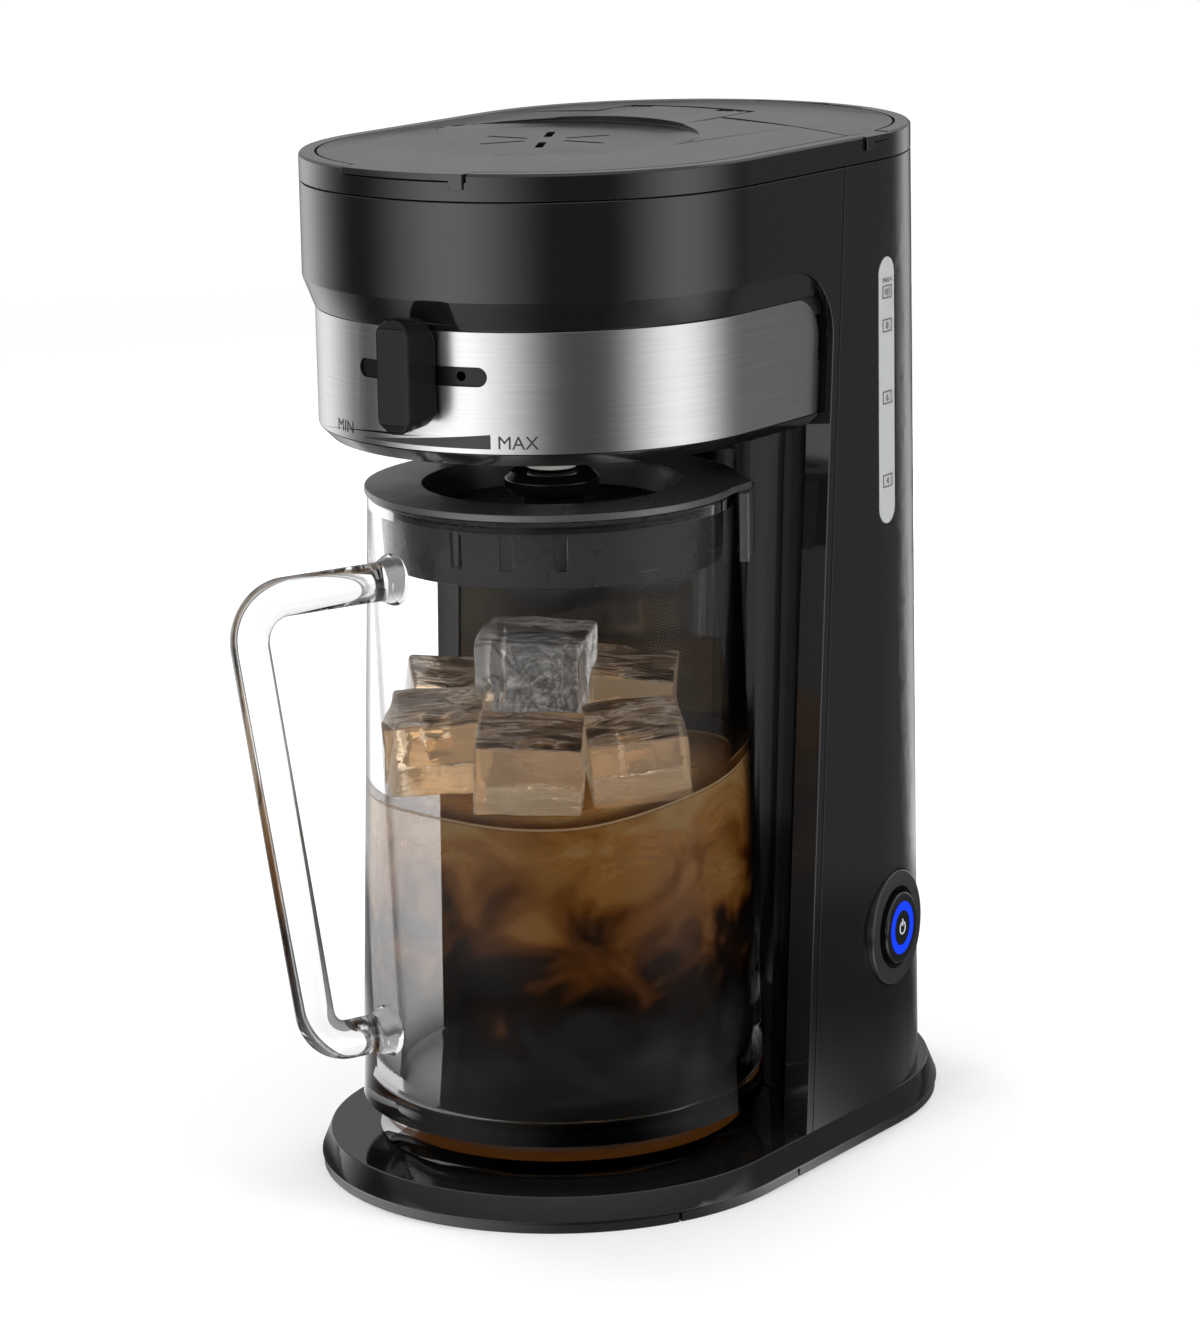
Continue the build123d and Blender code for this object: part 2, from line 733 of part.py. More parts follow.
def front_lid_plan(gap=0.0):
    """Plan of the front lid, grown by a gap: rounded front and hinge tongue."""
    shape = track(lid_radius + gap, body_centres)
    front = Pos(0, lid_seam + gap - far / 2, 0) * Rectangle(far, far)
    tongue = Pos(0, lid_seam + (tongue_end - lid_seam) / 2) * Rectangle(
        2 * (tongue_half + gap), tongue_end - lid_seam + 2 * gap)
    return (shape & front) + (shape & tongue)


def side_tab_plan(reach):
    x0 = lid_radius - 6
    depth = side_tab_end - side_tab_start
    middle = (side_tab_start + side_tab_end) / 2
    return Pos((x0 + reach) / 2, middle) * Rectangle(reach - x0, depth)


def front_tab_plan(reach, half):
    ring = Circle(reach) - Circle(lid_radius - 6)
    return ring & (Pos(0, -far / 2) * Rectangle(2 * half, far))


def make_top_ring():
    body = track_prism(body_radius, ring_bottom + lid_gap, total_height)
    top_edges = body.edges().filter_by(lambda e: abs(e.center().Z - total_height) < 0.01)
    body = chamfer(top_edges, 0.8)
    body -= track_prism(lid_radius + lid_gap, total_height - lid_depth - seat_gap, total_height)
    body -= track_prism(body_radius - ring_width - 2.0, 0, total_height)
    notch_z = total_height - tab_thickness - seat_gap
    body -= prism(front_tab_plan(body_radius + 5, tab_half + lid_gap), notch_z, total_height)
    side = side_tab_plan(body_radius + 5)
    side = offset(side, lid_gap)
    body -= prism(side, notch_z, total_height)
    barrel_y, barrel_z = tank_hinge_place()
    notch_front = barrel_y - hinge_radius - barrel_gap
    notch_back = barrel_y + hinge_radius + barrel_back_gap
    half = tank_hinge_half + saddle_width + 2 * lid_gap
    body -= block(-half, half, notch_front, notch_back, ring_bottom, total_height)
    relief = track_prism(lid_radius + lid_gap + swing_gap, total_height - swing_gap, total_height)
    body -= relief & block(-hinge_relief, hinge_relief, body_centres, far, 0, far)
    return body


def make_head_deck():
    radius = body_radius - wall - seat_gap
    z0 = deck_top - deck_thickness
    body = track_prism(radius, z0, deck_top)
    body -= disc(deck_hole, z0, deck_top)
    tank_mouth = track_prism(radius - 6, z0, deck_top)
    body -= tank_mouth & block(-far, far, tank_front + 8, far, 0, far)
    body -= disc(riser_radius + 0.3, z0, deck_top, nozzle_x, riser_y)
    hinge_y, hinge_z = front_hinge_place()
    for side in (-1, 1):
        x = side * ear_offset
        ear = block(x - ear_width / 2, x + ear_width / 2, hinge_y - 2, hinge_y + 2,
                    deck_top, hinge_z)
        ear += Pos(x, hinge_y, hinge_z) * (Rot(0, 90, 0) * Cylinder(2.0, ear_width))
        body += ear
    body -= x_rod(hinge_y, hinge_z, pin_radius, ear_offset + ear_width)
    return body


def x_rod(y, z, radius, half):
    """Rod along X through a point in the YZ plane."""
    return Pos(0, y, z) * (Rot(0, 90, 0) * Cylinder(radius, 2 * half))


def front_hinge_place():
    """y and z of the front lid's pin, under the tongue's end."""
    radius = (lid_radius ** 2 + dome_rise ** 2) / (2 * dome_rise)
    drop = radius - math.sqrt(radius ** 2 - tongue_half ** 2)
    return tongue_end - hinge_radius, crown - drop - hinge_radius


def tank_hinge_place():
    """y and z of the tank lid's pin, at the rear of the ring."""
    edge = body_centres + math.sqrt(lid_radius ** 2 - tank_hinge_half ** 2)
    return edge - hinge_radius + 1.0, total_height - hinge_radius


def lid_body(plan, skirt_plan):
    """Domed lid with a flat underside and a skirt round it."""
    low = total_height - lid_depth
    body = prism(plan, low, crown + 5) & dome()
    hollow = prism(skirt_plan, low, total_height - lid_underside)
    return body - hollow


def make_front_lid():
    plan = front_lid_plan()
    skirt = Pos(0, -2, 0) * (track(lid_radius - skirt_inset, body_centres)
                             & (Pos(0, lid_seam - far / 2, 0) * Rectangle(far, far)))
    body = lid_body(plan, skirt)
    hinge_y, hinge_z = front_hinge_place()
    body -= block(-far, far, hinge_y, far, 0, far)
    body -= block(-far, far, lid_seam + 2, hinge_y + 1, 0, hinge_z - hinge_radius + 0.6)
    body += x_rod(hinge_y, hinge_z, hinge_radius, tongue_half)
    for side in (-1, 1):
        x = side * ear_offset
        half = ear_width / 2 + ear_gap
        body -= block(x - half, x + half, hinge_y - 2 - 2.4, hinge_y + 5, 0, far)
    body -= x_rod(hinge_y, hinge_z, pin_radius + pin_gap, tongue_half + 1)
    floor = crown - dish_drop - 0.3
    rim = crown - (dish_radius ** 2) / (lid_radius ** 2 + dome_rise ** 2) * dome_rise
    body -= turned([(0, floor), (dish_floor_radius, floor), (dish_radius, rim + 0.01),
                    (dish_radius, crown + 5), (0, crown + 5)])
    slot = Pos((vent_inner + vent_outer) / 2, 0) * SlotOverall(vent_outer - vent_inner, vent_width)
    for i in range(vent_count):
        angle = -60 + 360 / vent_count * i
        body -= Rot(0, 0, angle) * prism(slot, 0, crown + 5)
    tab = prism(front_tab_plan(body_radius + tab_overhang, tab_half),
                total_height - tab_thickness, total_height)
    body += tab
    lug = Circle(body_radius + tab_overhang) - Circle(body_radius + lug_gap)
    lug &= Pos(tab_half - lug_length / 2, -far / 2) * Rectangle(lug_length, far)
    body += prism(lug, total_height - tab_thickness - lug_height, total_height - tab_thickness + 0.1)
    return body


def make_tank_lid():
    whole = track(lid_radius, body_centres)
    rear = Pos(0, lid_seam + lid_gap + far / 2) * Rectangle(far, far)
    swing = Pos(0, tongue_end) * Rectangle(2 * (tongue_half + lid_gap), 2 * swing_gap)
    plan = (whole & rear) - front_lid_plan(lid_gap) - swing
    inner = track(lid_radius - skirt_inset, body_centres)
    skirt = inner & (Pos(0, tongue_end + 5 + far / 2) * Rectangle(far, far))
    body = lid_body(plan, skirt)
    hinge_y, hinge_z = tank_hinge_place()
    half = tank_hinge_half
    body -= block(-far, far, hinge_y, far, 0, far) & block(-half, half, 0, far, 0, far)
    body += x_rod(hinge_y, hinge_z, hinge_radius, half)
    clear = hinge_y - hinge_radius - swing_gap
    body -= block(-hinge_relief, -half, clear, far, 0, crown)
    body -= block(half, hinge_relief, clear, far, 0, crown)
    body -= x_rod(hinge_y, hinge_z, pin_radius + pin_gap, half + 1)
    reach = body_radius + tab_overhang
    body += prism(side_tab_plan(reach), total_height - tab_thickness, total_height)
    lug = block(body_radius + lug_gap, reach, side_tab_start, side_tab_start + lug_length,
                total_height - tab_thickness - lug_height, total_height - tab_thickness + 0.1)
    return body + lug


def make_front_hinge_pin():
    hinge_y, hinge_z = front_hinge_place()
    return x_rod(hinge_y, hinge_z, pin_radius, ear_offset + ear_width / 2)


def make_tank_hinge_pin():
    """Plain pin through the tank lid's barrel and both saddles."""
    hinge_y, hinge_z = tank_hinge_place()
    return x_rod(hinge_y, hinge_z, pin_radius, tank_hinge_half + lid_gap + saddle_width)


def make_hinge_saddles():
    """Two posts on the deck that carry the tank lid's pin."""
    hinge_y, hinge_z = tank_hinge_place()
    posts = []
    for side in (-1, 1):
        x = side * (tank_hinge_half + lid_gap + saddle_width / 2)
        post = block(x - saddle_width / 2, x + saddle_width / 2,
                     hinge_y - 1.9, hinge_y + 1.9, deck_top, hinge_z)
        post += Pos(x, hinge_y, hinge_z) * (Rot(0, 90, 0) * Cylinder(1.9, saddle_width))
        posts.append(post - x_rod(hinge_y, hinge_z, pin_radius, far / 4))
    return Compound(children=posts)


# ------------------------------------------------------------------ brew contents
def make_brew_basket():
    top = deck_top + 2.0
    rim = turned([(basket_radius - 1.5, deck_top), (deck_hole + 3.5, deck_top),
                  (deck_hole + 3.5, top), (basket_radius - 1.5, top)])
    cup = turned([(0, basket_bottom), (basket_foot_radius, basket_bottom),
                  (basket_radius, deck_top + 0.1), (0, deck_top + 0.1)])
    cup -= turned([(0, basket_bottom + basket_floor), (basket_foot_radius - 2, basket_bottom + basket_floor),
                   (basket_radius - 2, deck_top + 3), (0, deck_top + 3)])
    nozzle = disc(nozzle_radius, nozzle_bottom, basket_bottom + 0.1)
    body = rim + cup + nozzle
    body -= disc(nozzle_radius - 2, nozzle_bottom, basket_bottom - 1.5)
    return body - disc(nozzle_bore, 0, far)


def make_mesh_filter():
    top = deck_top - 1.0
    z0 = basket_bottom + basket_floor + seat_gap + plug_thickness + stop_lift + 0.7
    r0 = basket_foot_radius - 3.2
    r1 = basket_radius - 2.6
    body = turned([(0, z0), (r0, z0), (r1, top), (0, top)])
    return body - turned([(0, z0 + 1), (r0 - 1, z0 + 1), (r1 - 1, top + 1), (0, top + 1)])


def make_drip_stop():
    """Valve: a plug over the basket's outlet, pushed up by the jug through its stem and cap."""
    cap_top = nozzle_bottom - seat_gap
    cap = disc(stop_radius, cap_top - stop_thickness, cap_top)
    plug_bottom = basket_bottom + basket_floor + seat_gap
    stem = disc(stem_radius, cap_top - 0.1, plug_bottom + 0.1)
    plug = disc(plug_radius, plug_bottom, plug_bottom + plug_thickness)
    return cap + stem + plug


def make_drip_spring():
    """Coil round the valve's stem, between the valve cap and the nozzle's roof."""
    z0 = nozzle_bottom - 0.3 + spring_wire + 0.1
    z1 = basket_bottom - 1.5 - spring_wire - 0.1
    height = z1 - z0
    path = Helix(pitch=height / spring_turns, height=height, radius=spring_radius)
    start = Plane(origin=path @ 0, z_dir=path % 0)
    return Pos(0, 0, z0) * sweep(start * Circle(spring_wire), path=path)


def make_shower_head():
    under = total_height - lid_underside - seat_gap
    low = under - shower_drop
    floor = low + shower_floor
    plate = disc(shower_radius, low, low + shower_rim) + disc(shower_neck, low, under)
    plate -= disc(shower_neck - shower_floor, floor, under)
    plate += disc(shower_hub, floor - shower_floor / 2, under)
    for ring, count in ((shower_ring_inner, shower_inner_count), (shower_ring_outer, shower_outer_count)):
        for i in range(count):
            a = 2 * math.pi * i / count
            plate -= disc(shower_bore, 0, far, ring * math.cos(a), ring * math.sin(a))
    return plate


def make_lid_seal():
    """Silicone ring in the lid's underside, over the basket's rim."""
    under = total_height - lid_underside - seat_gap
    inner = basket_radius - seal_ring_inner
    outer = basket_radius + seal_ring_outer
    low = under - seal_ring_height
    ring = turned([(inner, low), (outer, low), (outer, under), (inner, under)])
    return fillet(ring.edges().filter_by(GeomType.CIRCLE).sort_by(Axis.Z)[:2], seal_ring_round)


# ------------------------------------------------------------------ tower contents
def tank_block(radius, front, relief_x, relief_y, z0, z1):
    """Tank plan pulled up: hollow front, and a corner left free for the riser hose."""
    body = track_prism(radius, z0, z1)
    body &= block(-far, far, tank_start + front - tank_front, far, 0, far)
    body -= disc(front, 0, far)
    return body - block(-far, relief_x, 0, relief_y, 0, far)


def make_water_tank():
    radius = body_radius - wall - tank_gap
    top = deck_top - deck_thickness - seat_gap
    body = tank_block(radius, tank_front, -relief_x, relief_y, tank_bottom, top)
    body -= tank_block(radius - tank_wall, tank_front + tank_wall, -relief_x + tank_wall,
                       relief_y + tank_wall, tank_bottom + tank_wall, far)
    return body - disc(heater_bore, 0, tank_bottom + tank_wall, heater_half, heater_front)


def make_tank_screen():
    z = tank_bottom + tank_wall
    body = disc(heater_bore + 3, z, z + 10, heater_half, heater_front + 0.5)
    return body - disc(heater_bore + 2, z, z + 9, heater_half, heater_front + 0.5)


def make_tank_seal():
    z = tank_bottom
    ring = disc(heater_bore + 3, z - seal_thickness, z, heater_half, heater_front)
    return ring - disc(heater_bore, z - seal_thickness, z, heater_half, heater_front)


def make_inlet_hose():
    z0 = heater_height + heater_rise
    body = disc(heater_radius - 2, z0, valve_bottom, heater_half, heater_front)
    return body - disc(heater_bore - 1, z0, valve_bottom, heater_half, heater_front)


def make_check_valve():
    z1 = tank_bottom - seal_thickness
    body = disc(heater_radius, valve_bottom, z1, heater_half, heater_front)
    body += disc(heater_radius + 1.5, valve_bottom + 6, valve_bottom + 10, heater_half, heater_front)
    return body - disc(heater_bore - 1, valve_bottom, z1, heater_half, heater_front)


def heater_path(z, rise):
    x = heater_half
    return [(-x, heater_front, z + rise), (-x, heater_front, z), (-x, heater_rear, z),
            (x, heater_rear, z), (x, heater_front, z), (x, heater_front, z + rise)]


def make_heater_tube():
    return tube(heater_path(heater_height, heater_rise), heater_radius, 12, heater_bore)


def make_heating_element():
    z = heater_height - heater_radius - element_radius - 0.3
    x = heater_half
    points = [(-x, heater_front - 8, z), (-x, heater_rear, z), (x, heater_rear, z),
              (x, heater_front - 8, z)]
    return tube(points, element_radius, 12)


def make_heater_bracket():
    """Plate on four posts under the boiler, standing on the base."""
    top = heater_height - heater_radius - 2 * element_radius - 0.6
    half = heater_half + heater_radius + bracket_overhang
    front = heater_front - bracket_front
    back = heater_rear + heater_radius + bracket_back
    body = block(-half, half, front, back, top - bracket_thickness, top)
    body -= block(-bracket_window, bracket_window, front + bracket_frame, back - bracket_frame, 0, far)
    inset = bracket_post + seat_gap
    for x in (-half + inset, half - inset):
        for y in (front + inset, back - inset):
            body += disc(bracket_post, base_height, top - bracket_thickness / 2, x, y)
    return body


def make_thermostat():
    z = heater_height + heater_radius + 0.2
    body = disc(8, z, z + 6, 0, heater_rear)
    body += block(-11, 11, heater_rear - 4, heater_rear + 4, z, z + 1)
    return body


def make_thermal_fuse():
    z = heater_height + heater_radius + 2.3
    rod = Rot(-90, 0, 0) * Cylinder(2.0, 18, align=(Align.CENTER, Align.CENTER, Align.MIN))
    return Pos(heater_half, heater_front + 12, z) * rod


def make_riser_hose():
    z0 = heater_height + heater_rise + seat_gap
    run = z0 + 12.5
    top = deck_top - deck_thickness - 14
    end = deck_top - deck_thickness - 1.0
    points = [(-heater_half, heater_front, z0), (-heater_half, heater_front, run),
              (-riser_x, riser_y, run), (-riser_x, riser_y, top),
              (nozzle_x, riser_y, top), (nozzle_x, riser_y, end)]
    return tube(points, riser_radius, 9, riser_bore)


def make_water_nozzle():
    """Elbow on the deck that turns the hot water forward over the basket."""
    z0 = deck_top - deck_thickness - 0.7
    run = deck_top + nozzle_lift
    points = [(nozzle_x, riser_y, z0), (nozzle_x, riser_y, run),
              (nozzle_reach_x, nozzle_reach_y, run)]
    return tube(points, riser_radius - 1.3, 3.4, riser_bore - 1.3)


# --------------------------------------------------------------------------- jug
def jug_outer_radius(z):
    """Outer radius of the glass at height z above its foot."""
    return jug_bottom_radius + (jug_top_radius - jug_bottom_radius) * z / jug_height


def make_pitcher_glass():
    z0, z1 = jug_foot, jug_rim
    height = z1 - z0
    outer = turned([(0, z0), (jug_bottom_radius, z0), (jug_outer_radius(height), z1), (0, z1)])
    outer = fillet(outer.edges().filter_by(GeomType.CIRCLE).sort_by(Axis.Z)[0], jug_fillet)
    floor = z0 + jug_floor
    inner = turned([(0, floor), (jug_outer_radius(jug_floor) - glass_wall, floor),
                    (jug_outer_radius(height) - glass_wall, z1), (0, z1)])
    inner = fillet(inner.edges().filter_by(GeomType.CIRCLE).sort_by(Axis.Z)[0], jug_fillet - 2)
    inner += disc(jug_outer_radius(height) - glass_wall, z1 - 0.5, z1 + 5)
    return outer - inner


def make_pitcher_handle():
    """Glass rod handle with a round weld pad at each end."""
    z0 = jug_foot + handle_bottom
    z1 = jug_foot + handle_top
    root = jug_top_radius - 6
    points = [(0, -root, z1), (0, -handle_reach_top, z1), (0, -handle_reach_bottom, z0),
              (0, -root, z0)]
    body = tube(points, rod_radius, handle_bend)
    for z in (z0, z1):
        start = jug_outer_radius(z - jug_foot) + weld_depth
        pad = Rot(90, 0, 0) * Cylinder(weld_radius, 12, align=(Align.CENTER, Align.CENTER, Align.MAX))
        body += Pos(0, -start, z) * pad
    core = turned([(0, jug_foot - 5), (jug_outer_radius(-5) + 0.05, jug_foot - 5),
                   (jug_outer_radius(jug_height) + 0.05, jug_foot + jug_height),
                   (0, jug_foot + jug_height)])
    return at_angle(body - core, handle_angle)


def make_pitcher_lid():
    low = flange_top - flange_thickness
    floor = flange_top - well_depth
    glass_inner = jug_outer_radius(jug_rim - jug_foot) - glass_wall
    inner = well_radius - flange_thickness
    body = turned([(inner, low), (flange_radius, low), (flange_radius, flange_top),
                   (inner, flange_top)])
    collar = turned([(collar_radius - collar_wall, low - collar_height),
                     (collar_radius, low - collar_height), (glass_inner - 1.2, low + 0.1),
                     (glass_inner - 1.2 - collar_wall, low + 0.1)])
    well = turned([(0, floor - 2), (well_radius - 3, floor - 2), (well_radius, flange_top),
                   (well_radius - 2, flange_top), (well_radius - 5, floor), (0, floor)])
    beak = make_hull(Edge.make_circle(flange_radius - 2).edges()
                     + (Pos(0, -spout_reach, 0) * Edge.make_circle(spout_radius)).edges())
    beak = prism(beak, low, flange_top) - disc(well_radius, 0, far)
    skirt_y = jug_top_radius + 1.6
    skirt = block(-spout_half_width, spout_half_width, -skirt_y - 3.6, -skirt_y,
                  low - spout_drop, low + 0.1)
    skirt &= prism(Pos(0, -spout_reach) * Circle(spout_half_width + 1), 0, far)
    skirt -= turned([(0, 0), (jug_bottom_radius + 1, 0), (jug_top_radius + 1.0, low), (0, low)])
    beak += skirt
    body += collar + well + at_angle(beak, spout_angle)
    body -= disc(tea_hole_radius, 0, far)
    for angle in (-18, 0, 18):
        cut = block(-2.2, 2.2, -collar_radius - 6, -collar_radius + 6, low - 18, low - 6)
        body -= at_angle(cut, angle + 20)
    return body


def make_lid_knob():
    z0 = flange_top - well_depth + seat_gap
    top = knob_top
    body = turned([(tea_hole_radius + 1, z0), (knob_neck, z0), (knob_neck, z0 + 4.0),
                   (knob_radius - 1.5, z0 + 5.5), (knob_radius, z0 + 7.5), (knob_radius, top - 2.5),
                   (knob_radius - 2.5, top), (tea_hole_radius + 1, top)])
    return body


def make_jug_seal():
    low = flange_top - flange_thickness
    glass_inner = jug_outer_radius(jug_rim - jug_foot) - glass_wall
    return turned([(glass_inner - 1.0, low - 5.0), (glass_inner - 0.2, low - 4.2),
                   (glass_inner - 0.2, low - 3.4), (glass_inner - 1.0, low - 2.6)])


# ------------------------------------------------------------------------- export
nodes = {
    "base_shell": make_base_shell,
    "bottom_cover": make_bottom_cover,
    "rubber_feet": make_rubber_feet,
    "bottom_screws": make_bottom_screws,
    "pitcher_pad": make_pitcher_pad,
    "front_housing": make_front_housing,
    "rear_shell": make_rear_shell,
    "water_window": make_water_window,
    "button_bezel": make_button_bezel,
    "power_button": make_power_button,
    "led_ring": make_led_ring,
    "tact_switch": make_tact_switch,
    "control_board": make_control_board,
    "cord_gland": make_cord_gland,
    "column_panel": make_column_panel,
    "drum_shell": make_drum_shell,
    "brew_panel": make_brew_panel,
    "drum_rim": make_drum_rim,
    "strength_lever": make_strength_lever,
    "lever_carriage": make_lever_carriage,
    "top_ring": make_top_ring,
    "head_deck": make_head_deck,
    "front_lid": make_front_lid,
    "tank_lid": make_tank_lid,
    "front_hinge_pin": make_front_hinge_pin,
    "tank_hinge_pin": make_tank_hinge_pin,
    "hinge_saddles": make_hinge_saddles,
    "brew_basket": make_brew_basket,
    "mesh_filter": make_mesh_filter,
    "drip_stop": make_drip_stop,
    "drip_spring": make_drip_spring,
    "shower_head": make_shower_head,
    "lid_seal": make_lid_seal,
    "water_tank": make_water_tank,
    "tank_screen": make_tank_screen,
    "tank_seal": make_tank_seal,
    "inlet_hose": make_inlet_hose,
    "check_valve": make_check_valve,
    "heater_tube": make_heater_tube,
    "heating_element": make_heating_element,
    "heater_bracket": make_heater_bracket,
    "thermostat": make_thermostat,
    "thermal_fuse": make_thermal_fuse,
    "riser_hose": make_riser_hose,
    "water_nozzle": make_water_nozzle,
    "pitcher_glass": make_pitcher_glass,
    "pitcher_handle": make_pitcher_handle,
    "pitcher_lid": make_pitcher_lid,
    "lid_knob": make_lid_knob,
    "jug_seal": make_jug_seal,
}

os.makedirs("parts", exist_ok=True)
for name, make in nodes.items():
    export_step(make(), "parts/" + name + ".step")
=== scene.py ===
# %% [markdown]
# # Iced tea maker
# The solids come first: every piece of the machine is already placed and jointed. This lesson
# gives them their looks. Blender works in metres here, +Z is up and -Y is the machine's front.

import json
import math
import bpy
from mathutils import Matrix, Vector

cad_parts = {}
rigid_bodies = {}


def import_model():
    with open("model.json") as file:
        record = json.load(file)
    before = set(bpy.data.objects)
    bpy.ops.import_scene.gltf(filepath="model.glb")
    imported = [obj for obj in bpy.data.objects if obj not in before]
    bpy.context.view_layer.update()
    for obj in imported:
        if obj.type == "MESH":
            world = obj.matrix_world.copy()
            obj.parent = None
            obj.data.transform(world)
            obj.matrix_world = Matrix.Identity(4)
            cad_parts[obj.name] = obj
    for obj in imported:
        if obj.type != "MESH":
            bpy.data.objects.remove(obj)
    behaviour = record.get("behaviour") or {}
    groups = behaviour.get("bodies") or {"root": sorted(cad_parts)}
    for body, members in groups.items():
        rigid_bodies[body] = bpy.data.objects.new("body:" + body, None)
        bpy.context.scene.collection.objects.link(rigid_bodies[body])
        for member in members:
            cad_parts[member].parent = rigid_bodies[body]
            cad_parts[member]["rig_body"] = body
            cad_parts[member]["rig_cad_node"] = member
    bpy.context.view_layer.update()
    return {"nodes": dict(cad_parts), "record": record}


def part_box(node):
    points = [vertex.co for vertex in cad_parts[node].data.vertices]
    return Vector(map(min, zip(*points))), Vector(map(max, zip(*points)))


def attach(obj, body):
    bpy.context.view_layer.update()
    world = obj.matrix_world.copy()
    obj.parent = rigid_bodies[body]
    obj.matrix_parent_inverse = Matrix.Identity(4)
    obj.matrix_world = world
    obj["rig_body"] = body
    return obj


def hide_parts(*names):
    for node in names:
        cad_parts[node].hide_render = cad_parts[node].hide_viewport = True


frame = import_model()
BODY_OF = {}
for body, members in frame["record"]["behaviour"]["bodies"].items():
    for member in members:
        BODY_OF[member] = body

# %% [markdown]
# ## Hand tools
# Modelling by operator always starts the same way: deselect everything, add or pick one object,
# go into edit mode, and choose vertices or faces by where they lie. A few small helpers keep
# that short.

# %% Helpers for picking and editing
MM = 0.001
WELD = 0.005 * MM


def pick(piece):
    """Make one object the only selected and the active one."""
    bpy.ops.object.select_all(action="DESELECT")
    piece.hide_set(False)
    piece.select_set(True)
    bpy.context.view_layer.objects.active = piece


def new_piece(add, **settings):
    """Run one of Blender's add operators with nothing else selected."""
    bpy.ops.object.select_all(action="DESELECT")
    add(**settings)
    return bpy.context.active_object


def open_mesh(piece, mode="VERT"):
    """Go into edit mode with everything selected."""
    pick(piece)
    bpy.ops.object.mode_set(mode="EDIT")
    bpy.ops.mesh.select_mode(type=mode)
    bpy.ops.mesh.select_all(action="SELECT")


def close_mesh():
    bpy.ops.object.mode_set(mode="OBJECT")


def close_skin(weld=0.0):
    """Weld the open mesh if asked, turn its faces outwards and leave edit mode."""
    bpy.ops.mesh.select_all(action="SELECT")
    if weld:
        bpy.ops.mesh.remove_doubles(threshold=weld)
    bpy.ops.mesh.normals_make_consistent(inside=False)
    close_mesh()


def choose(piece, test, kind="polygons"):
    """Select the faces, or vertices, whose place passes the test; ends in edit mode."""
    mesh = piece.data
    bpy.ops.object.mode_set(mode="OBJECT")
    for group in (mesh.vertices, mesh.edges, mesh.polygons):
        group.foreach_set("select", [False] * len(group))
    for item in getattr(mesh, kind):
        place = item.center if kind == "polygons" else item.co
        item.select = bool(test(place, item.normal))
    bpy.ops.object.mode_set(mode="EDIT")
    bpy.ops.mesh.select_mode(type="FACE" if kind == "polygons" else "VERT")


def apply_place(piece):
    """Write the object's place into its mesh, so that the object sits at the origin."""
    pick(piece)
    bpy.ops.object.transform_apply(location=True, rotation=True, scale=True)


def modifier(piece, kind, **settings):
    """Add one modifier, set it up and apply it."""
    pick(piece)
    bpy.ops.object.modifier_add(type=kind)
    step = piece.modifiers[-1]
    for key, value in settings.items():
        setattr(step, key, value)
    bpy.ops.object.modifier_apply(modifier=step.name)


def smooth(piece, degrees):
    """Shade smooth, but keep every edge that is sharper than the angle."""
    pick(piece)
    bpy.ops.object.shade_smooth_by_angle(angle=math.radians(degrees))


def round_edges(piece, width, angle):
    """Give every edge sharper than the angle a small moulded radius, in mm."""
    if width:
        modifier(piece, "BEVEL", width=width * MM, segments=2, limit_method="ANGLE",
                 angle_limit=math.radians(angle), use_clamp_overlap=False)
    smooth(piece, angle + 3)
    if width:
        modifier(piece, "WEIGHTED_NORMAL", keep_sharp=True)


def finish_piece(piece, name, finish, body, nodes=()):
    """Name a piece, give it its material and let it ride on its body."""
    piece.name = name
    piece.data.name = name
    piece.data.materials.clear()
    piece.data.materials.append(finish)
    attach(piece, body)
    if nodes:
        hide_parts(*nodes)


# %% [markdown]
# ## Finishes
# A material is a tree of nodes that ends in a Principled shader. Each node is added, given its
# settings and fed, and a socket is fed either a plain number or colour, or what another node
# gives. The helpers do just that, so that a finish below reads as a list of its own steps.

# %% Helpers for node trees
def feed(tree, socket, value):
    """Link another node's output to a socket, or set the socket to a plain value."""
    if isinstance(value, bpy.types.NodeSocket):
        tree.links.new(value, socket)
    else:
        socket.default_value = value


def put(tree, kind, sockets=(), **settings):
    """Add one node, choose its settings and feed its sockets."""
    node = tree.nodes.new(kind)
    for key, value in settings.items():
        setattr(node, key, value)
    for key, value in dict(sockets).items():
        feed(tree, node.inputs[key], value)
    return node


def maths(tree, operation, *values):
    """Result of one arithmetic node that is fed the values in order."""
    node = put(tree, "ShaderNodeMath", dict(enumerate(values)), operation=operation)
    return node.outputs["Value"]


def span(tree, value, start, end, first=0.0, last=1.0, way="LINEAR"):
    """Stretch what runs from start to end onto first to last, and hold it outside them."""
    node = put(tree, "ShaderNodeMapRange", {
        "Value": value, "From Min": start, "From Max": end, "To Min": first, "To Max": last,
    }, interpolation_type=way)
    return node.outputs["Result"]


def grey(tree, value):
    """Colour whose three channels are the same value."""
    node = put(tree, "ShaderNodeCombineColor", {"Red": value, "Green": value, "Blue": value})
    return node.outputs["Color"]


def apart(tree, vector):
    """The X, Y and Z outputs of a vector."""
    return put(tree, "ShaderNodeSeparateXYZ", {"Vector": vector}).outputs


def object_place(tree):
    """Object coordinates: pieces sit at the origin, so these are places on the machine."""
    return put(tree, "ShaderNodeTexCoord").outputs["Object"]


def to_shader(made, **sockets):
    """Feed the material's Principled shader; an underscore stands for a space."""
    shader = made.node_tree.nodes["Principled BSDF"]
    for key, value in sockets.items():
        feed(made.node_tree, shader.inputs[key.replace("_", " ")], value)
    return made


def start_material(name, **sockets):
    """New material, with plain values on its shader's own sockets."""
    made = bpy.data.materials.new(name)
    made.use_nodes = True
    return to_shader(made, **sockets)


print("node helpers ready")

# %% [markdown]
# Nearly everything here is moulded plastic. Its gloss is never quite even, so one small node
# group breaks up the roughness a little, and each plastic uses it with its own values.

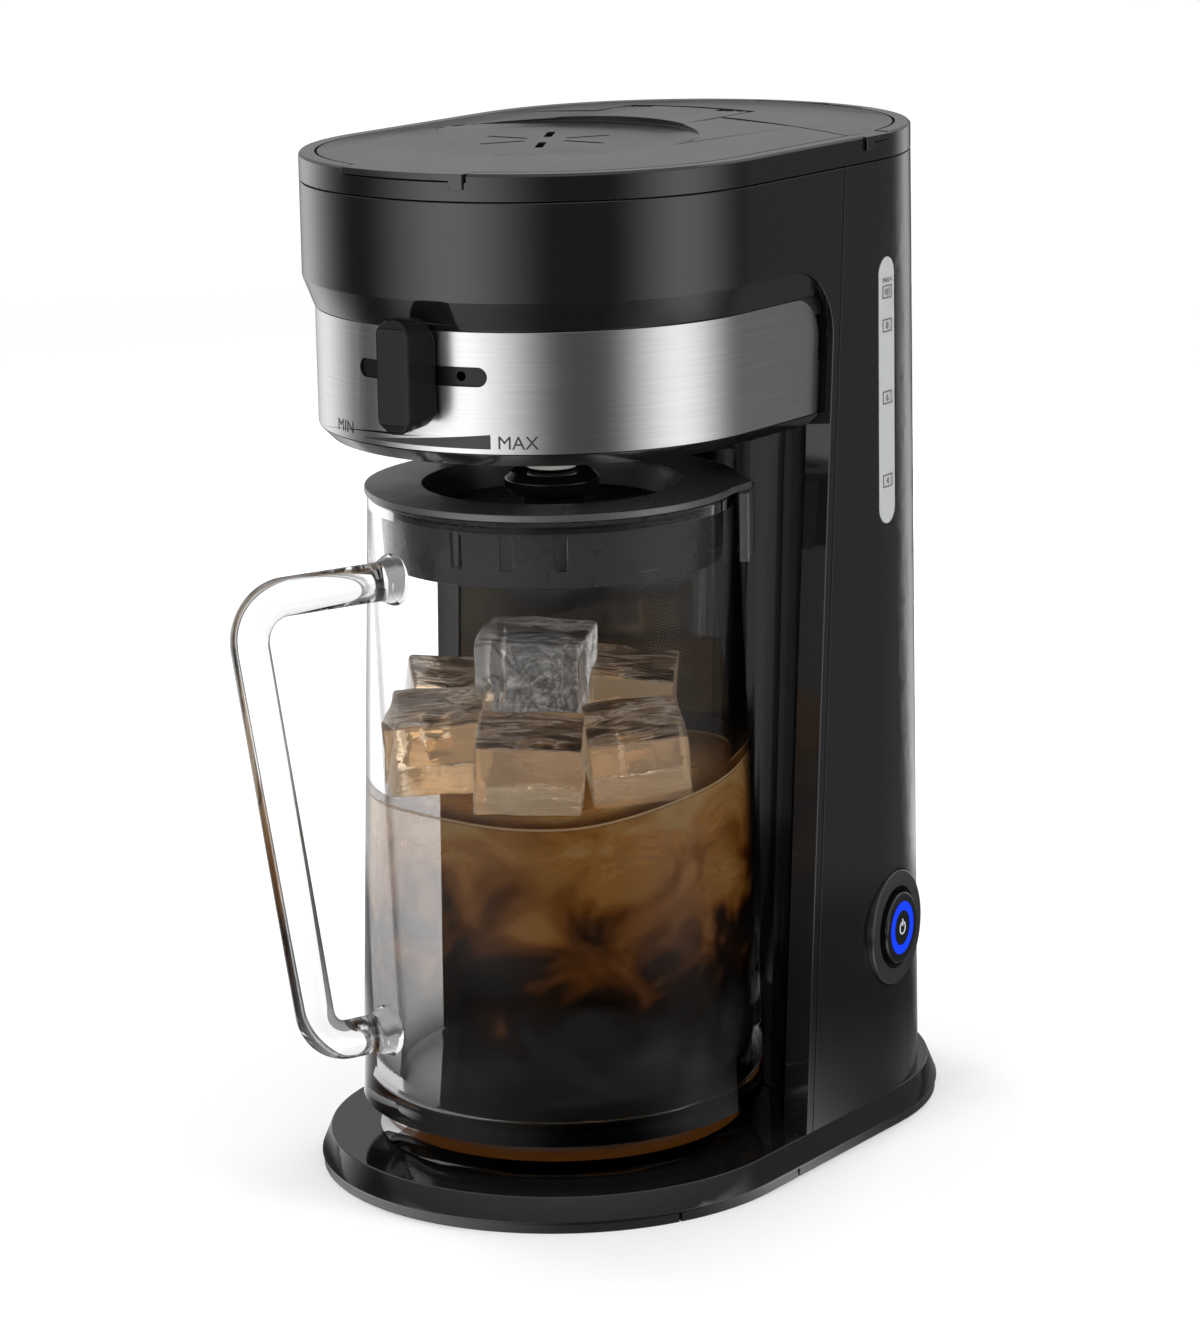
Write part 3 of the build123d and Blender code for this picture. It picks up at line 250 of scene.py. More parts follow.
# %% Shared group: uneven gloss
def make_uneven_gloss():
    group = bpy.data.node_groups.new("uneven_gloss", "ShaderNodeTree")
    face = group.interface
    for name, value in (("Scale", 60.0), ("Lowest", 0.1), ("Highest", 0.2)):
        socket = face.new_socket(name=name, in_out="INPUT", socket_type="NodeSocketFloat")
        socket.default_value = value
    for name in ("Roughness", "Height"):
        face.new_socket(name=name, in_out="OUTPUT", socket_type="NodeSocketFloat")
    given = group.nodes.new("NodeGroupInput").outputs
    result = group.nodes.new("NodeGroupOutput").inputs
    cloud = put(group, "ShaderNodeTexNoise", {
        "Vector": object_place(group), "Scale": given["Scale"], "Detail": 4.0}).outputs["Fac"]
    rough = span(group, cloud, 0.3, 0.7, given["Lowest"], given["Highest"])
    feed(group, result["Roughness"], rough)
    feed(group, result["Height"], cloud)
    return group


UNEVEN_GLOSS = make_uneven_gloss()
GRAIN_DEPTH = 0.1 * MM


def plastic(name, colour, low, high, grain=0.0, scale=60.0, **sockets):
    """Moulded surface with a roughness from low to high, and a fine grain if asked."""
    made = start_material(name, Base_Color=(*colour, 1.0), **sockets)
    tree = made.node_tree
    gloss = put(tree, "ShaderNodeGroup", {"Scale": scale, "Lowest": low, "Highest": high},
                node_tree=UNEVEN_GLOSS)
    to_shader(made, Roughness=gloss.outputs["Roughness"])
    if grain:
        bump = put(tree, "ShaderNodeBump", {
            "Strength": grain, "Distance": GRAIN_DEPTH, "Height": gloss.outputs["Height"]})
        to_shader(made, Normal=bump.outputs["Normal"])
    return made


black_gloss = plastic("black_gloss", (0.0055, 0.0055, 0.006), 0.06, 0.10)
lid_gloss = plastic("lid_gloss", (0.010, 0.010, 0.011), 0.16, 0.22)
black_satin = plastic("black_satin", (0.012, 0.012, 0.013), 0.34, 0.42, 0.10, 900.0)
lever_satin = plastic("lever_satin", (0.008, 0.008, 0.009), 0.16, 0.22, Specular_IOR_Level=0.12)
slot_black = plastic("slot_black", (0.004, 0.004, 0.004), 0.28, 0.36, Specular_IOR_Level=0.25)
collar_black = plastic("collar_black", (0.045, 0.045, 0.046), 0.24, 0.32, Specular_IOR_Level=0.6)
column_gloss = plastic("column_gloss", (0.0055, 0.0055, 0.006), 0.04, 0.06, IOR=1.8)
pad_rubber = plastic("pad_rubber", (0.012, 0.012, 0.013), 0.5, 0.62, 0.2, 1200.0)
foot_rubber = plastic("foot_rubber", (0.015, 0.015, 0.015), 0.6, 0.75, 0.2, 1200.0)
nylon = plastic("nylon", (0.72, 0.71, 0.67), 0.35, 0.45)
board_mask = plastic("board_mask", (0.015, 0.12, 0.04), 0.25, 0.35)
silicone = plastic("silicone", (0.62, 0.62, 0.60), 0.35, 0.5, Subsurface_Weight=0.3)
plain_steel = plastic("plain_steel", (0.55, 0.55, 0.54), 0.25, 0.35, Metallic=1.0)
cast_alloy = plastic("cast_alloy", (0.58, 0.58, 0.58), 0.35, 0.5, 0.1, 400.0, Metallic=1.0)
print("plastics and plain metals made")

# %% [markdown]
# The band round the brew head is brushed along its length. Brushing is noise that is long in one
# direction and very fine in the other, so the pattern is read round the drum's axis: the angle
# gives the slow direction and the height the fine one.

# %% Brushed steel
BRUSHING = (1.8, 1.0, 1000.0)
STEEL_SHADES = (0.45, 0.50)
STEEL_GLOSS = (0.25, 0.27)


def stretched_noise(tree, place, mapping, way="POINT", **sockets):
    """Noise read through a Mapping node, so that it runs longer one way than another."""
    stretch = put(tree, "ShaderNodeMapping", {"Vector": place, **mapping}, vector_type=way)
    noise = put(tree, "ShaderNodeTexNoise", {
        "Vector": stretch.outputs["Vector"], "Scale": 1.0, **sockets})
    return noise.outputs["Fac"]


def make_brushed_steel():
    made = start_material("brushed_steel", Metallic=1.0)
    tree = made.node_tree
    at = apart(tree, object_place(tree))
    angle = maths(tree, "ARCTAN2", at["X"], at["Y"])
    unrolled = put(tree, "ShaderNodeCombineXYZ", {"X": angle, "Z": at["Z"]})
    lines = stretched_noise(tree, unrolled.outputs["Vector"], {"Scale": BRUSHING}, Detail=3.0)
    shade = span(tree, lines, 0.25, 0.75, *STEEL_SHADES)
    rough = span(tree, lines, 0.0, 1.0, *STEEL_GLOSS)
    return to_shader(made, Base_Color=grey(tree, shade), Roughness=rough)


brushed_steel = make_brushed_steel()
print("brushed steel made")

# %% [markdown]
# Clear parts: the jug is real glass, the tank is clear plastic. Each keeps a plain transmission
# and an even gloss. Clear things look darkest where they are seen edge on, because there the light
# runs along them, so the colour of the glass is darkened towards its rims: painted shade.

# %% Glass and clear plastic
# Painted shade: between these heights the jug's colour falls to nearly black towards the foot.
FOOT_HEIGHTS = (24 * MM, 52 * MM)
FOOT_PAINTED_SHADES = (0.012, 0.985)


def clear(name, colour, ior, rough=0.0, weight=1.0):
    return start_material(name, Base_Color=(*colour, 1.0), Roughness=rough, IOR=ior,
                          Transmission_Weight=weight)


def edge_shade(tree, starts, ends, clearest, darkest, way="SMOOTHSTEP"):
    """Painted shade: a value that falls from clearest to darkest where the surface is seen edge on.
    """
    facing = put(tree, "ShaderNodeLayerWeight", {"Blend": 0.5}).outputs["Facing"]
    return span(tree, facing, starts, ends, clearest, darkest, way)


def make_rod_glass():
    """Solid glass of the handle, its colour darkened at the rims as painted shade."""
    made = clear("jug_glass", (0.97, 0.985, 0.985), 1.45)
    tree = made.node_tree
    return to_shader(made, Base_Color=grey(tree, edge_shade(tree, 0.50, 0.95, 0.98, 0.10)))


def make_jug_wall():
    """Clear wall, its colour painted nearly black towards the foot and darker where it is seen edge
    on: both painted shade.
    """
    made = clear("jug_wall_glass", (0.985, 0.99, 0.99), 1.16)
    tree = made.node_tree
    height = apart(tree, object_place(tree))["Z"]
    # painted shade: the wall's colour darkens towards the foot
    depth = span(tree, height, *FOOT_HEIGHTS, *FOOT_PAINTED_SHADES, "SMOOTHSTEP")
    # painted shade: the wall's colour darkens where it is seen edge on
    shade = edge_shade(tree, 0.70, 0.84, 1.0, 0.10)
    return to_shader(made, Base_Color=grey(tree, maths(tree, "MULTIPLY", depth, shade)))


jug_glass = make_rod_glass()
jug_wall_glass = make_jug_wall()
tank_plastic = clear("tank_plastic", (0.78, 0.80, 0.82), 1.49, 0.08)
print("glass and clear plastic made")

# %% [markdown]
# Ice is clear too, but it froze in layers with fine air between them. Its colour and its surface
# run in flat streaks, most of all on the upper faces, which are also painted darker than the sides
# as painted shade, with thin white painted glints among the streaks. Each cube glows faintly in
# the colour of its streaks, a painted glow, and its colour darkens where it is seen edge on, as
# painted shade.

# %% Ice finish
VIEW_TURN = math.radians(35)
STREAK = (26 * MM, 7 * MM, 20 * MM)
# Painted highlight: thin near-white glints in the ice's colour ramp.
PAINTED_GLINT = (0.97, 0.95, 0.92)
ICE_DENT = 1.3 * MM


def colour_ramp(tree, value, stops, way="LINEAR"):
    """Colour ramp over a value; each stop is a position and a colour."""
    node = put(tree, "ShaderNodeValToRGB", {"Fac": value})
    ramp = node.color_ramp
    ramp.interpolation = way
    while len(ramp.elements) < len(stops):
        ramp.elements.new(0.5)
    for stop, (at, colour) in zip(ramp.elements, stops):
        stop.position = at
        stop.color = (*colour, 1.0)
    return node.outputs["Color"]


def make_ice_finish(name, light, dark, weight, painted_glow, side_lightening):
    """Streaked ice with a painted glow of the given strength; the last value paints the side faces
    lighter than the tops, as painted shade, and keeps the streaks off them.
    """
    made = clear(name, light, 1.31, 0.0, weight)
    tree = made.node_tree
    place = put(tree, "ShaderNodeTexCoord").outputs
    streaks = stretched_noise(tree, place["Object"], {
        "Rotation": (0.0, 0.0, VIEW_TURN), "Scale": STREAK,
    }, "TEXTURE", Detail=4.0, Roughness=0.6, Distortion=1.1)
    # Partly real streaks, partly painted shade: the side faces are pushed to the light end of the
    # ramp, so the tops come out darker and streakier.
    sides_lighter = span(tree, apart(tree, place["Normal"])["Z"], 0.35, 0.85, side_lightening, 0.0)
    middle = [0.30 * a + 0.25 * b for a, b in zip(light, dark)]
    colour = colour_ramp(tree, maths(tree, "ADD", streaks, sides_lighter), (
        (0.40, dark), (0.50, middle), (0.545, PAINTED_GLINT), (0.57, middle), (0.68, light)))
    # Painted shade: the ice's colour darkens where it is seen edge on.
    rim = edge_shade(tree, 0.30, 0.66, 1.0, 0.25, "LINEAR")
    shaded = put(tree, "ShaderNodeVectorMath", {0: colour, "Scale": rim}, operation="SCALE")
    bump = put(tree, "ShaderNodeBump", {
        "Strength": 0.8, "Distance": ICE_DENT, "Height": streaks})
    # Painted glow: the ice gives off the colour of its streaks and glints, though it is no lamp.
    return to_shader(made, Base_Color=shaded.outputs["Vector"], Emission_Color=colour,
                     Emission_Strength=painted_glow, Normal=bump.outputs["Normal"])


ice_clear = make_ice_finish("ice_clear", (0.97, 0.96, 0.95), (0.08, 0.075, 0.07), 0.98, 0.07, 0.09)
ice_milky = make_ice_finish("ice_milky", (0.93, 0.72, 0.49), (0.05, 0.036, 0.026), 0.84, 0.055, 0.34)
print("ice finishes made")

# %% [markdown]
# What is left is small: the gauge's pale plastic, the lit ring and symbol of the power button,
# the inks, and the dark chrome round the button. A lit part has a dim body and its own light.

# %% Gauge, lights and inks
def glow(name, colour, strength, base, shine):
    return start_material(name, Base_Color=(*base, 1.0), Roughness=0.3, Specular_IOR_Level=shine,
                          Emission_Color=(*colour, 1.0), Emission_Strength=strength)


gauge_plastic = plastic("gauge_plastic", (0.38, 0.385, 0.39), 0.14, 0.20)
led_blue = glow("led_blue", (0.0, 0.035, 1.0), 1.1, (0.0, 0.01, 0.25), 0.15)
symbol_white = glow("symbol_white", (0.85, 0.9, 1.0), 0.75, (0.02, 0.02, 0.02), 0.2)
print_black = plastic("print_black", (0.012, 0.012, 0.012), 0.4, 0.5)
print_grey = plastic("print_grey", (0.10, 0.10, 0.11), 0.4, 0.5)
chrome_dark = plastic("chrome_dark", (0.02, 0.02, 0.022), 0.08, 0.12)
print("gauge, lights and inks made")

# %% [markdown]
# ## The moulded shells
# The CAD solids already have the right shape, seams and holes, but their edges are perfectly
# sharp and their triangles loose. A copy of each is merged, its flat triangles are joined, and
# a bevel gives it the small radius that a mould leaves: it is that radius which catches light.
# The lids' side walls are also drawn in by a hair, so that the seams round them read as dark.

# %% Dress the CAD solids
LIDS = ("front_lid", "tank_lid")
SEAM_SHADOW = 0.45
WALL_SLOPE = 0.3
CAD_WELD = 0.004 * MM
FLAT_WITHIN = math.radians(0.6)


def dress(node, finish, radius, angle):
    """Copy one CAD solid, round its edges and let the copy replace it."""
    pick(frame["nodes"][node])
    bpy.ops.object.duplicate()
    piece = bpy.context.active_object
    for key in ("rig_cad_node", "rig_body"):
        if key in piece:
            del piece[key]
    piece.parent = None
    piece.matrix_world = Matrix.Identity(4)
    open_mesh(piece)
    bpy.ops.mesh.remove_doubles(threshold=CAD_WELD)
    bpy.ops.mesh.dissolve_limited(angle_limit=FLAT_WITHIN)
    if node in LIDS:
        choose(piece, lambda place, normal: abs(normal.z) < WALL_SLOPE)
        bpy.ops.transform.shrink_fatten(value=-SEAM_SHADOW * MM)
    close_mesh()
    round_edges(piece, radius, angle)
    finish_piece(piece, node + "_moulded", finish, BODY_OF[node], [node])


SHELLS = (
    ("base_shell", black_gloss, 0.45), ("bottom_cover", black_satin, 0.2),
    ("rubber_feet", foot_rubber, 0.0), ("bottom_screws", plain_steel, 0.2),
    ("pitcher_pad", pad_rubber, 0.1), ("front_housing", black_gloss, 0.3),
    ("rear_shell", black_gloss, 0.3), ("water_window", gauge_plastic, 0.3),
    ("button_bezel", chrome_dark, 0.3), ("power_button", black_gloss, 0.25),
    ("led_ring", led_blue, 0.1), ("cord_gland", foot_rubber, 0.5),
    ("column_panel", column_gloss, 0.3), ("drum_shell", black_satin, 0.2),
    ("brew_panel", brushed_steel, 0.15), ("drum_rim", black_gloss, 0.4),
    ("strength_lever", lever_satin, 1.0), ("lever_carriage", slot_black, 0.1),
    ("top_ring", black_gloss, 0.18), ("head_deck", black_satin, 0.2),
    ("front_lid", lid_gloss, 0.16), ("tank_lid", lid_gloss, 0.16),
    ("front_hinge_pin", plain_steel, 0.2), ("tank_hinge_pin", plain_steel, 0.2),
    ("hinge_saddles", black_satin, 0.2), ("brew_basket", black_satin, 0.4),
    ("mesh_filter", plain_steel, 0.2), ("drip_stop", nylon, 0.3),
    ("shower_head", black_satin, 0.3), ("lid_seal", silicone, 0.0),
    ("water_tank", tank_plastic, 0.4), ("tank_screen", plain_steel, 0.2),
    ("tank_seal", silicone, 0.3), ("inlet_hose", silicone, 0.0),
    ("check_valve", nylon, 0.3), ("heater_tube", cast_alloy, 0.0),
    ("heating_element", plain_steel, 0.0), ("heater_bracket", plain_steel, 0.2),
    ("thermostat", plain_steel, 0.3), ("thermal_fuse", nylon, 0.3),
    ("riser_hose", silicone, 0.0), ("water_nozzle", nylon, 0.0),
    ("tact_switch", nylon, 0.2), ("control_board", board_mask, 0.1),
    ("pitcher_lid", collar_black, 0.4), ("jug_seal", foot_rubber, 0.0),
    ("drip_spring", plain_steel, 0.0), ("lid_knob", black_gloss, 0.5),
)
SHARP = 30
SHARP_ON = {"front_housing": 15, "front_lid": 10, "tank_lid": 10}
for node, finish, radius in SHELLS:
    if node == "drip_spring":
        # The spring deforms with its valve, so its own CAD mesh stays and only takes the finish.
        frame["nodes"][node].data.materials.clear()
        frame["nodes"][node].data.materials.append(finish)
        continue
    dress(node, finish, radius, SHARP_ON.get(node, SHARP))
print("dressed", len(SHELLS))

# %% [markdown]
# ## The jug
# A glass jug is blown into a mould and is the same all round, so half of its section is enough:
# one vertex is walked along the section by extruding, and the whole line is spun about the axis.
# Inner and outer wall are one closed skin, because glass needs both of its faces to bend light.

# %% Helper: spin a section
def rounded(points, steps=8):
    """Points of a section as (radius, height, corner radius) in mm; corners become short arcs."""
    path = []
    for i, (r, z, bend) in enumerate(points):
        here = Vector((r, z))
        if not bend:
            path.append(here)
            continue
        before = (Vector(points[i - 1][:2]) - here).normalized()
        after = (Vector(points[(i + 1) % len(points)][:2]) - here).normalized()
        half = before.angle(after) / 2
        reach = bend / math.tan(half)
        centre = here + (before + after).normalized() * (bend / math.sin(half))
        start = here + before * reach - centre
        sweep = math.pi - 2 * half
        turn = 1 if start.x * after.y - start.y * after.x > 0 else -1
        for k in range(steps + 1):
            a = turn * sweep * k / steps
            path.append(centre + Vector((start.x * math.cos(a) - start.y * math.sin(a),
                                         start.x * math.sin(a) + start.y * math.cos(a))))
    return path


def face_outwards(piece):
    """Turn a closed skin the right way out: its enclosed volume has to come out positive."""
    volume = 0.0
    for face in piece.data.polygons:
        corners = [piece.data.vertices[v].co for v in face.vertices]
        for k in range(1, len(corners) - 1):
            volume += corners[0].dot(corners[k].cross(corners[k + 1])) / 6
    if volume < 0:
        open_mesh(piece, "FACE")
        bpy.ops.mesh.flip_normals()
        close_mesh()


def spin_section(points, steps=128):
    """Walk one vertex along the section, then spin the line round the brew axis."""
    path = rounded(points)
    piece = new_piece(bpy.ops.mesh.primitive_plane_add, size=0.01, location=(0, 0, 0))
    open_mesh(piece)
    bpy.ops.mesh.merge(type="CENTER")
    here = Vector((path[0].x * MM, 0, path[0].y * MM))
    bpy.ops.transform.translate(value=here)
    for point in path[1:]:
        there = Vector((point.x * MM, 0, point.y * MM))
        bpy.ops.mesh.extrude_vertices_move(TRANSFORM_OT_translate={"value": there - here})
        here = there
    bpy.ops.mesh.select_all(action="SELECT")
    bpy.ops.mesh.spin(steps=steps, angle=math.tau, center=(0, 0, 0), axis=(0, 0, 1))
    close_skin(WELD)
    face_outwards(piece)
    return piece


# %% Jug glass
JUG_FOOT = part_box("pitcher_glass")[0].z / MM
JUG_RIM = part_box("pitcher_glass")[1].z / MM
JUG_FLOOR = JUG_FOOT + 5
JUG_HOLLOW = JUG_FOOT + 0.9
HOLLOW_RADIUS = 56
RING_RADIUS = 60
JUG_LOW = 74.6
JUG_HIGH = 64.2
JUG_WALL = 2.6
JUG_SMOOTH = 40


def jug_radius(z):
    """Outer radius of the jug at height z, in mm."""
    return JUG_LOW + (JUG_HIGH - JUG_LOW) * (z - JUG_FOOT) / (JUG_RIM - JUG_FOOT)


jug = spin_section([
    (0, JUG_HOLLOW, 0), (HOLLOW_RADIUS, JUG_HOLLOW, 3), (RING_RADIUS, JUG_FOOT, 2),
    (JUG_LOW, JUG_FOOT, 8.5), (JUG_HIGH, JUG_RIM, 1.2), (JUG_HIGH - JUG_WALL, JUG_RIM, 1.2),
    (jug_radius(JUG_FLOOR) - JUG_WALL, JUG_FLOOR, 7.5), (0, JUG_FLOOR, 0)])
smooth(jug, JUG_SMOOTH)
finish_piece(jug, "jug_blown_glass", jug_wall_glass, "pitcher", ["pitcher_glass"])
print("jug from", JUG_FOOT, "to", JUG_RIM)

# %% [markdown]
# The handle is a bent glass rod whose ends are fused to the wall. A disc is extruded along the
# straight runs and spun through the bends, and flares a little where the hot glass was pressed
# on.

# %% Jug handle
HANDLE_ANGLE = math.radians(-20)
ROD = 6.68
BEND = 14.0
BEND_STEPS = 14
ROD_TOP = 217.9
ROD_LOW = 59.4
REACH_TOP = 125.5
REACH_LOW = 101.0
PRESSED_ON = 1.32
FUSED = 0.2
FLARE = ((1.2, 1.03), (1.6, 0.93), (1.8, 0.86), (2.4, 0.922))
FLARE_REACH = 7.2
ROD_SMOOTH = 50


def rod_run(step, size=1.0):
    """Extrude the rod's open end by a step in mm, and scale the new end."""
    bpy.ops.mesh.extrude_region_move(TRANSFORM_OT_translate={"value": [c * MM for c in step]})
    if size != 1.0:
        bpy.ops.transform.resize(value=(size, size, size))


def rod_bend(turn, out, height):
    """Spin the rod's open end round a bend whose centre is given in mm."""
    bpy.ops.mesh.spin(steps=BEND_STEPS, angle=-turn, center=(0, -out * MM, height * MM),
                      axis=(1, 0, 0))


def make_handle():
    slope = math.atan2(REACH_TOP - REACH_LOW, ROD_TOP - ROD_LOW)
    wall_top = jug_radius(ROD_TOP)
    wall_low = jug_radius(ROD_LOW)
    top_turn = math.pi / 2 + slope
    low_turn = math.pi / 2 - slope
    top_back = BEND * math.tan(top_turn / 2)
    low_back = BEND * math.tan(low_turn / 2)
    length = math.hypot(REACH_TOP - REACH_LOW, ROD_TOP - ROD_LOW) - top_back - low_back
    piece = new_piece(bpy.ops.mesh.primitive_circle_add, vertices=40, radius=ROD * MM * PRESSED_ON,
                      fill_type="NGON", location=(0, -(wall_top + FUSED) * MM, ROD_TOP * MM),
                      rotation=(math.pi / 2, 0, 0))
    apply_place(piece)
    open_mesh(piece, "FACE")
    for out, size in FLARE:
        rod_run((0, -out, 0), size)
    rod_run((0, -(REACH_TOP - top_back - wall_top - FLARE_REACH), 0))
    rod_bend(top_turn, REACH_TOP - top_back, ROD_TOP - BEND)
    rod_run((0, math.sin(slope) * length, -math.cos(slope) * length))
    rod_bend(low_turn, REACH_LOW - low_back, ROD_LOW + BEND)
    rod_run((0, REACH_LOW - low_back - wall_low - FLARE_REACH, 0))
    for out, size in reversed(FLARE):
        rod_run((0, out, 0), 1 / size)
    close_skin(WELD)
    piece.rotation_euler = (0, 0, HANDLE_ANGLE)
    apply_place(piece)
    smooth(piece, ROD_SMOOTH)
    return piece


handle = make_handle()
finish_piece(handle, "jug_handle_rod", jug_glass, "pitcher", ["pitcher_handle"])
print("handle", [round(v, 4) for v in handle.dimensions])

# %% [markdown]
# ## Tea and ice
# Milky tea is poured over ice, so its colour is layered: pale cream near the top, brown below
# and nearly black lower down. A ramp over the height gives the layers, and one noise pushes that
# height about, which makes the clouds. The surface itself turns browner towards the glass.

# %% Tea material
TEA_CLOUDS = (21.0, 21.0, 28.0)
CLOUD_PUSH = 0.15
TEA_HEIGHTS = (0.094, 0.228)
TEA_LAYERS = (
    (0.0, (0.080, 0.078, 0.075)), (0.20, (0.034, 0.032, 0.030)), (0.36, (0.010, 0.005, 0.002)),
    (0.47, (0.035, 0.011, 0.002)), (0.57, (0.20, 0.062, 0.007)), (0.68, (0.47, 0.165, 0.024)),
    (0.80, (0.78, 0.35, 0.080)), (1.0, (0.95, 0.58, 0.22)))
SURFACE_BROWN = (0.16, 0.055, 0.010)
SURFACE_RADII = (42 * MM, 60 * MM)


def length_of(tree, vector):
    node = put(tree, "ShaderNodeVectorMath", {0: vector}, operation="LENGTH")
    return node.outputs["Value"]


def make_tea():
    made = start_material("milky_tea", Roughness=0.5, Specular_IOR_Level=0.0, Alpha=0.44)
    tree = made.node_tree
    place = put(tree, "ShaderNodeTexCoord").outputs
    cloud = stretched_noise(tree, place["Object"], {"Scale": TEA_CLOUDS},
                            Detail=4.0, Roughness=0.5, Distortion=1.7)
    height = apart(tree, place["Object"])["Z"]
    level = span(tree, maths(tree, "MULTIPLY_ADD", cloud, CLOUD_PUSH, height), *TEA_HEIGHTS)
    layers = colour_ramp(tree, level, TEA_LAYERS, "EASE")
    flat = put(tree, "ShaderNodeVectorMath", {0: place["Object"], 1: (1.0, 1.0, 0.0)},
               operation="MULTIPLY")
    rim = span(tree, length_of(tree, flat.outputs["Vector"]), *SURFACE_RADII, way="SMOOTHSTEP")
    upper = span(tree, apart(tree, place["Normal"])["Z"], 0.6, 0.8)
    # the top of the tea is coloured browner and darker towards the glass
    browner_near_glass = put(tree, "ShaderNodeMix", {
        0: maths(tree, "MULTIPLY", rim, upper), "A": layers, "B": (*SURFACE_BROWN, 1.0),
    }, data_type="RGBA")
    return to_shader(made, Base_Color=browner_near_glass.outputs["Result"])


milky_tea = make_tea()
pale_tea_ring = plastic("pale_tea_ring", (0.80, 0.56, 0.30), 0.45, 0.55, Alpha=0.4, Specular_IOR_Level=0.1)
print("tea finish made")

# %% [markdown]
# The tea fills the jug to a hair short of the glass, so it is spun from a section too. Its
# surface isn't level: it was poured a moment ago, and a slow wave still leans up to the right.

# %% Tea body
TEA_TOP = 136.5
TEA_GAP = 0.25
TEA_RIM = 0.5
TEA_CORNER = 7.2
TEA_SMOOTH = 60
RINGS = 12
SURFACE_HALF = 70
LEAN = 12.0
WAVE = 0.9
RIGHT = Vector((math.cos(VIEW_TURN), math.sin(VIEW_TURN), 0))
NEAR = Vector((math.sin(VIEW_TURN), -math.cos(VIEW_TURN), 0))


def tea_radius(z):
    """Radius of the tea at height z, in mm."""
    return jug_radius(z) - JUG_WALL - TEA_GAP


def lift_surface(piece, above):
    """Raise what lies above a height into the slow wave of the tea's surface."""
    for corner in piece.data.vertices:
        if corner.co.z / MM < above:
            continue
        side = corner.co.dot(RIGHT) / (SURFACE_HALF * MM)
        front = corner.co.dot(NEAR) / (SURFACE_HALF * MM)
        lift = LEAN * max(side, 0) ** 2 + WAVE * math.sin(5.0 * side + 2.0) * math.cos(4.0 * front)
        corner.co.z += lift * MM
        scale = tea_radius(corner.co.z / MM) / tea_radius(TEA_TOP)
        corner.co.x *= scale
        corner.co.y *= scale


def make_tea_body():
    floor = JUG_FLOOR + TEA_GAP
    top = tea_radius(TEA_TOP)
    section = [(0, floor, 0), (tea_radius(floor), floor, TEA_CORNER)]
    section += [(top * (RINGS - k) / RINGS, TEA_TOP, 0) for k in range(RINGS + 1)]
    piece = spin_section(section, 96)
    lift_surface(piece, TEA_TOP - 0.01)
    smooth(piece, TEA_SMOOTH)
    return piece


def make_tea_rim():
    """A pale line where the tea meets the glass."""
    piece = new_piece(
        bpy.ops.mesh.primitive_torus_add, major_radius=(tea_radius(TEA_TOP) - TEA_RIM) * MM,
        minor_radius=TEA_RIM * MM, major_segments=96, minor_segments=8,
        location=(0, 0, (TEA_TOP + TEA_RIM) * MM))
    apply_place(piece)
    lift_surface(piece, 0.0)
    smooth(piece, TEA_SMOOTH)
    return piece


finish_piece(make_tea_rim(), "tea_rim", pale_tea_ring, "pitcher")
finish_piece(make_tea_body(), "iced_tea", milky_tea, "pitcher")
print("tea to", TEA_TOP)

# %% [markdown]
# An ice cube is never a true cube: its edges have melted round and its faces sag. Each starts
# as a cube that is subdivided and bevelled, and a soft displacement dents it. Some of them froze
# round a bubble of air: a small skin inside, turned inside out.

# %% Helpers for ice
ICE_ROUND = 2.0
ICE_SMOOTH = 60
DENT = 2.0
BUBBLE_DENT = 5.0
BUBBLE_FLAT = 0.8
BUBBLE_TURN = math.radians(14)


def dent(piece, texture, depth):
    """Push the faces in and out by a soft noise, in mm."""
    modifier(piece, "DISPLACE", texture=texture, strength=depth * MM, mid_level=0.5,
             texture_coords="LOCAL")


def add_bubble(piece, size, texture):
    """Put a smaller copy of the cube, dented more and inside out, into the cube."""
    pick(piece)
    bpy.ops.object.duplicate()
    bubble = bpy.context.active_object
    bubble.scale = (size, size * BUBBLE_FLAT, size)
    bubble.rotation_euler.rotate_axis("Z", BUBBLE_TURN)
    bpy.ops.object.transform_apply(location=False, rotation=False, scale=True)
    dent(bubble, texture, BUBBLE_DENT)
    open_mesh(bubble, "FACE")
    bpy.ops.mesh.flip_normals()
    close_mesh()
    piece.select_set(True)
    bpy.context.view_layer.objects.active = piece
    bpy.ops.object.join()


def make_ice(number, place, size, turn, finish):
    """Ice cube; its place is how far right, how near and how high the camera sees it, in mm."""
    across, near, height = place
    centre = Vector((across * math.cos(VIEW_TURN) + near * math.sin(VIEW_TURN),
                     across * math.sin(VIEW_TURN) - near * math.cos(VIEW_TURN), height))
    piece = new_piece(bpy.ops.mesh.primitive_cube_add, size=1.0, location=centre * MM,
                      rotation=[math.radians(a) for a in turn])
    piece.scale = [c * MM for c in size]
    bpy.ops.object.transform_apply(location=False, rotation=False, scale=True)
    open_mesh(piece, "EDGE")
    bpy.ops.mesh.bevel(offset=ICE_ROUND * MM, segments=4, profile=0.6)
    bpy.ops.mesh.select_all(action="SELECT")
    bpy.ops.mesh.subdivide(number_cuts=4)
    close_mesh()
    name = "ice_cube_%d" % (number + 1)
    dents = bpy.data.textures.new(name + "_dents", "CLOUDS")
    dents.noise_scale = 0.011 + 0.002 * number
    dents.noise_depth = 1
    dent(piece, dents, DENT)
    if number in BUBBLES:
        add_bubble(piece, BUBBLES[number], dents)
    apply_place(piece)
    smooth(piece, ICE_SMOOTH)
    finish_piece(piece, name, finish, "pitcher")


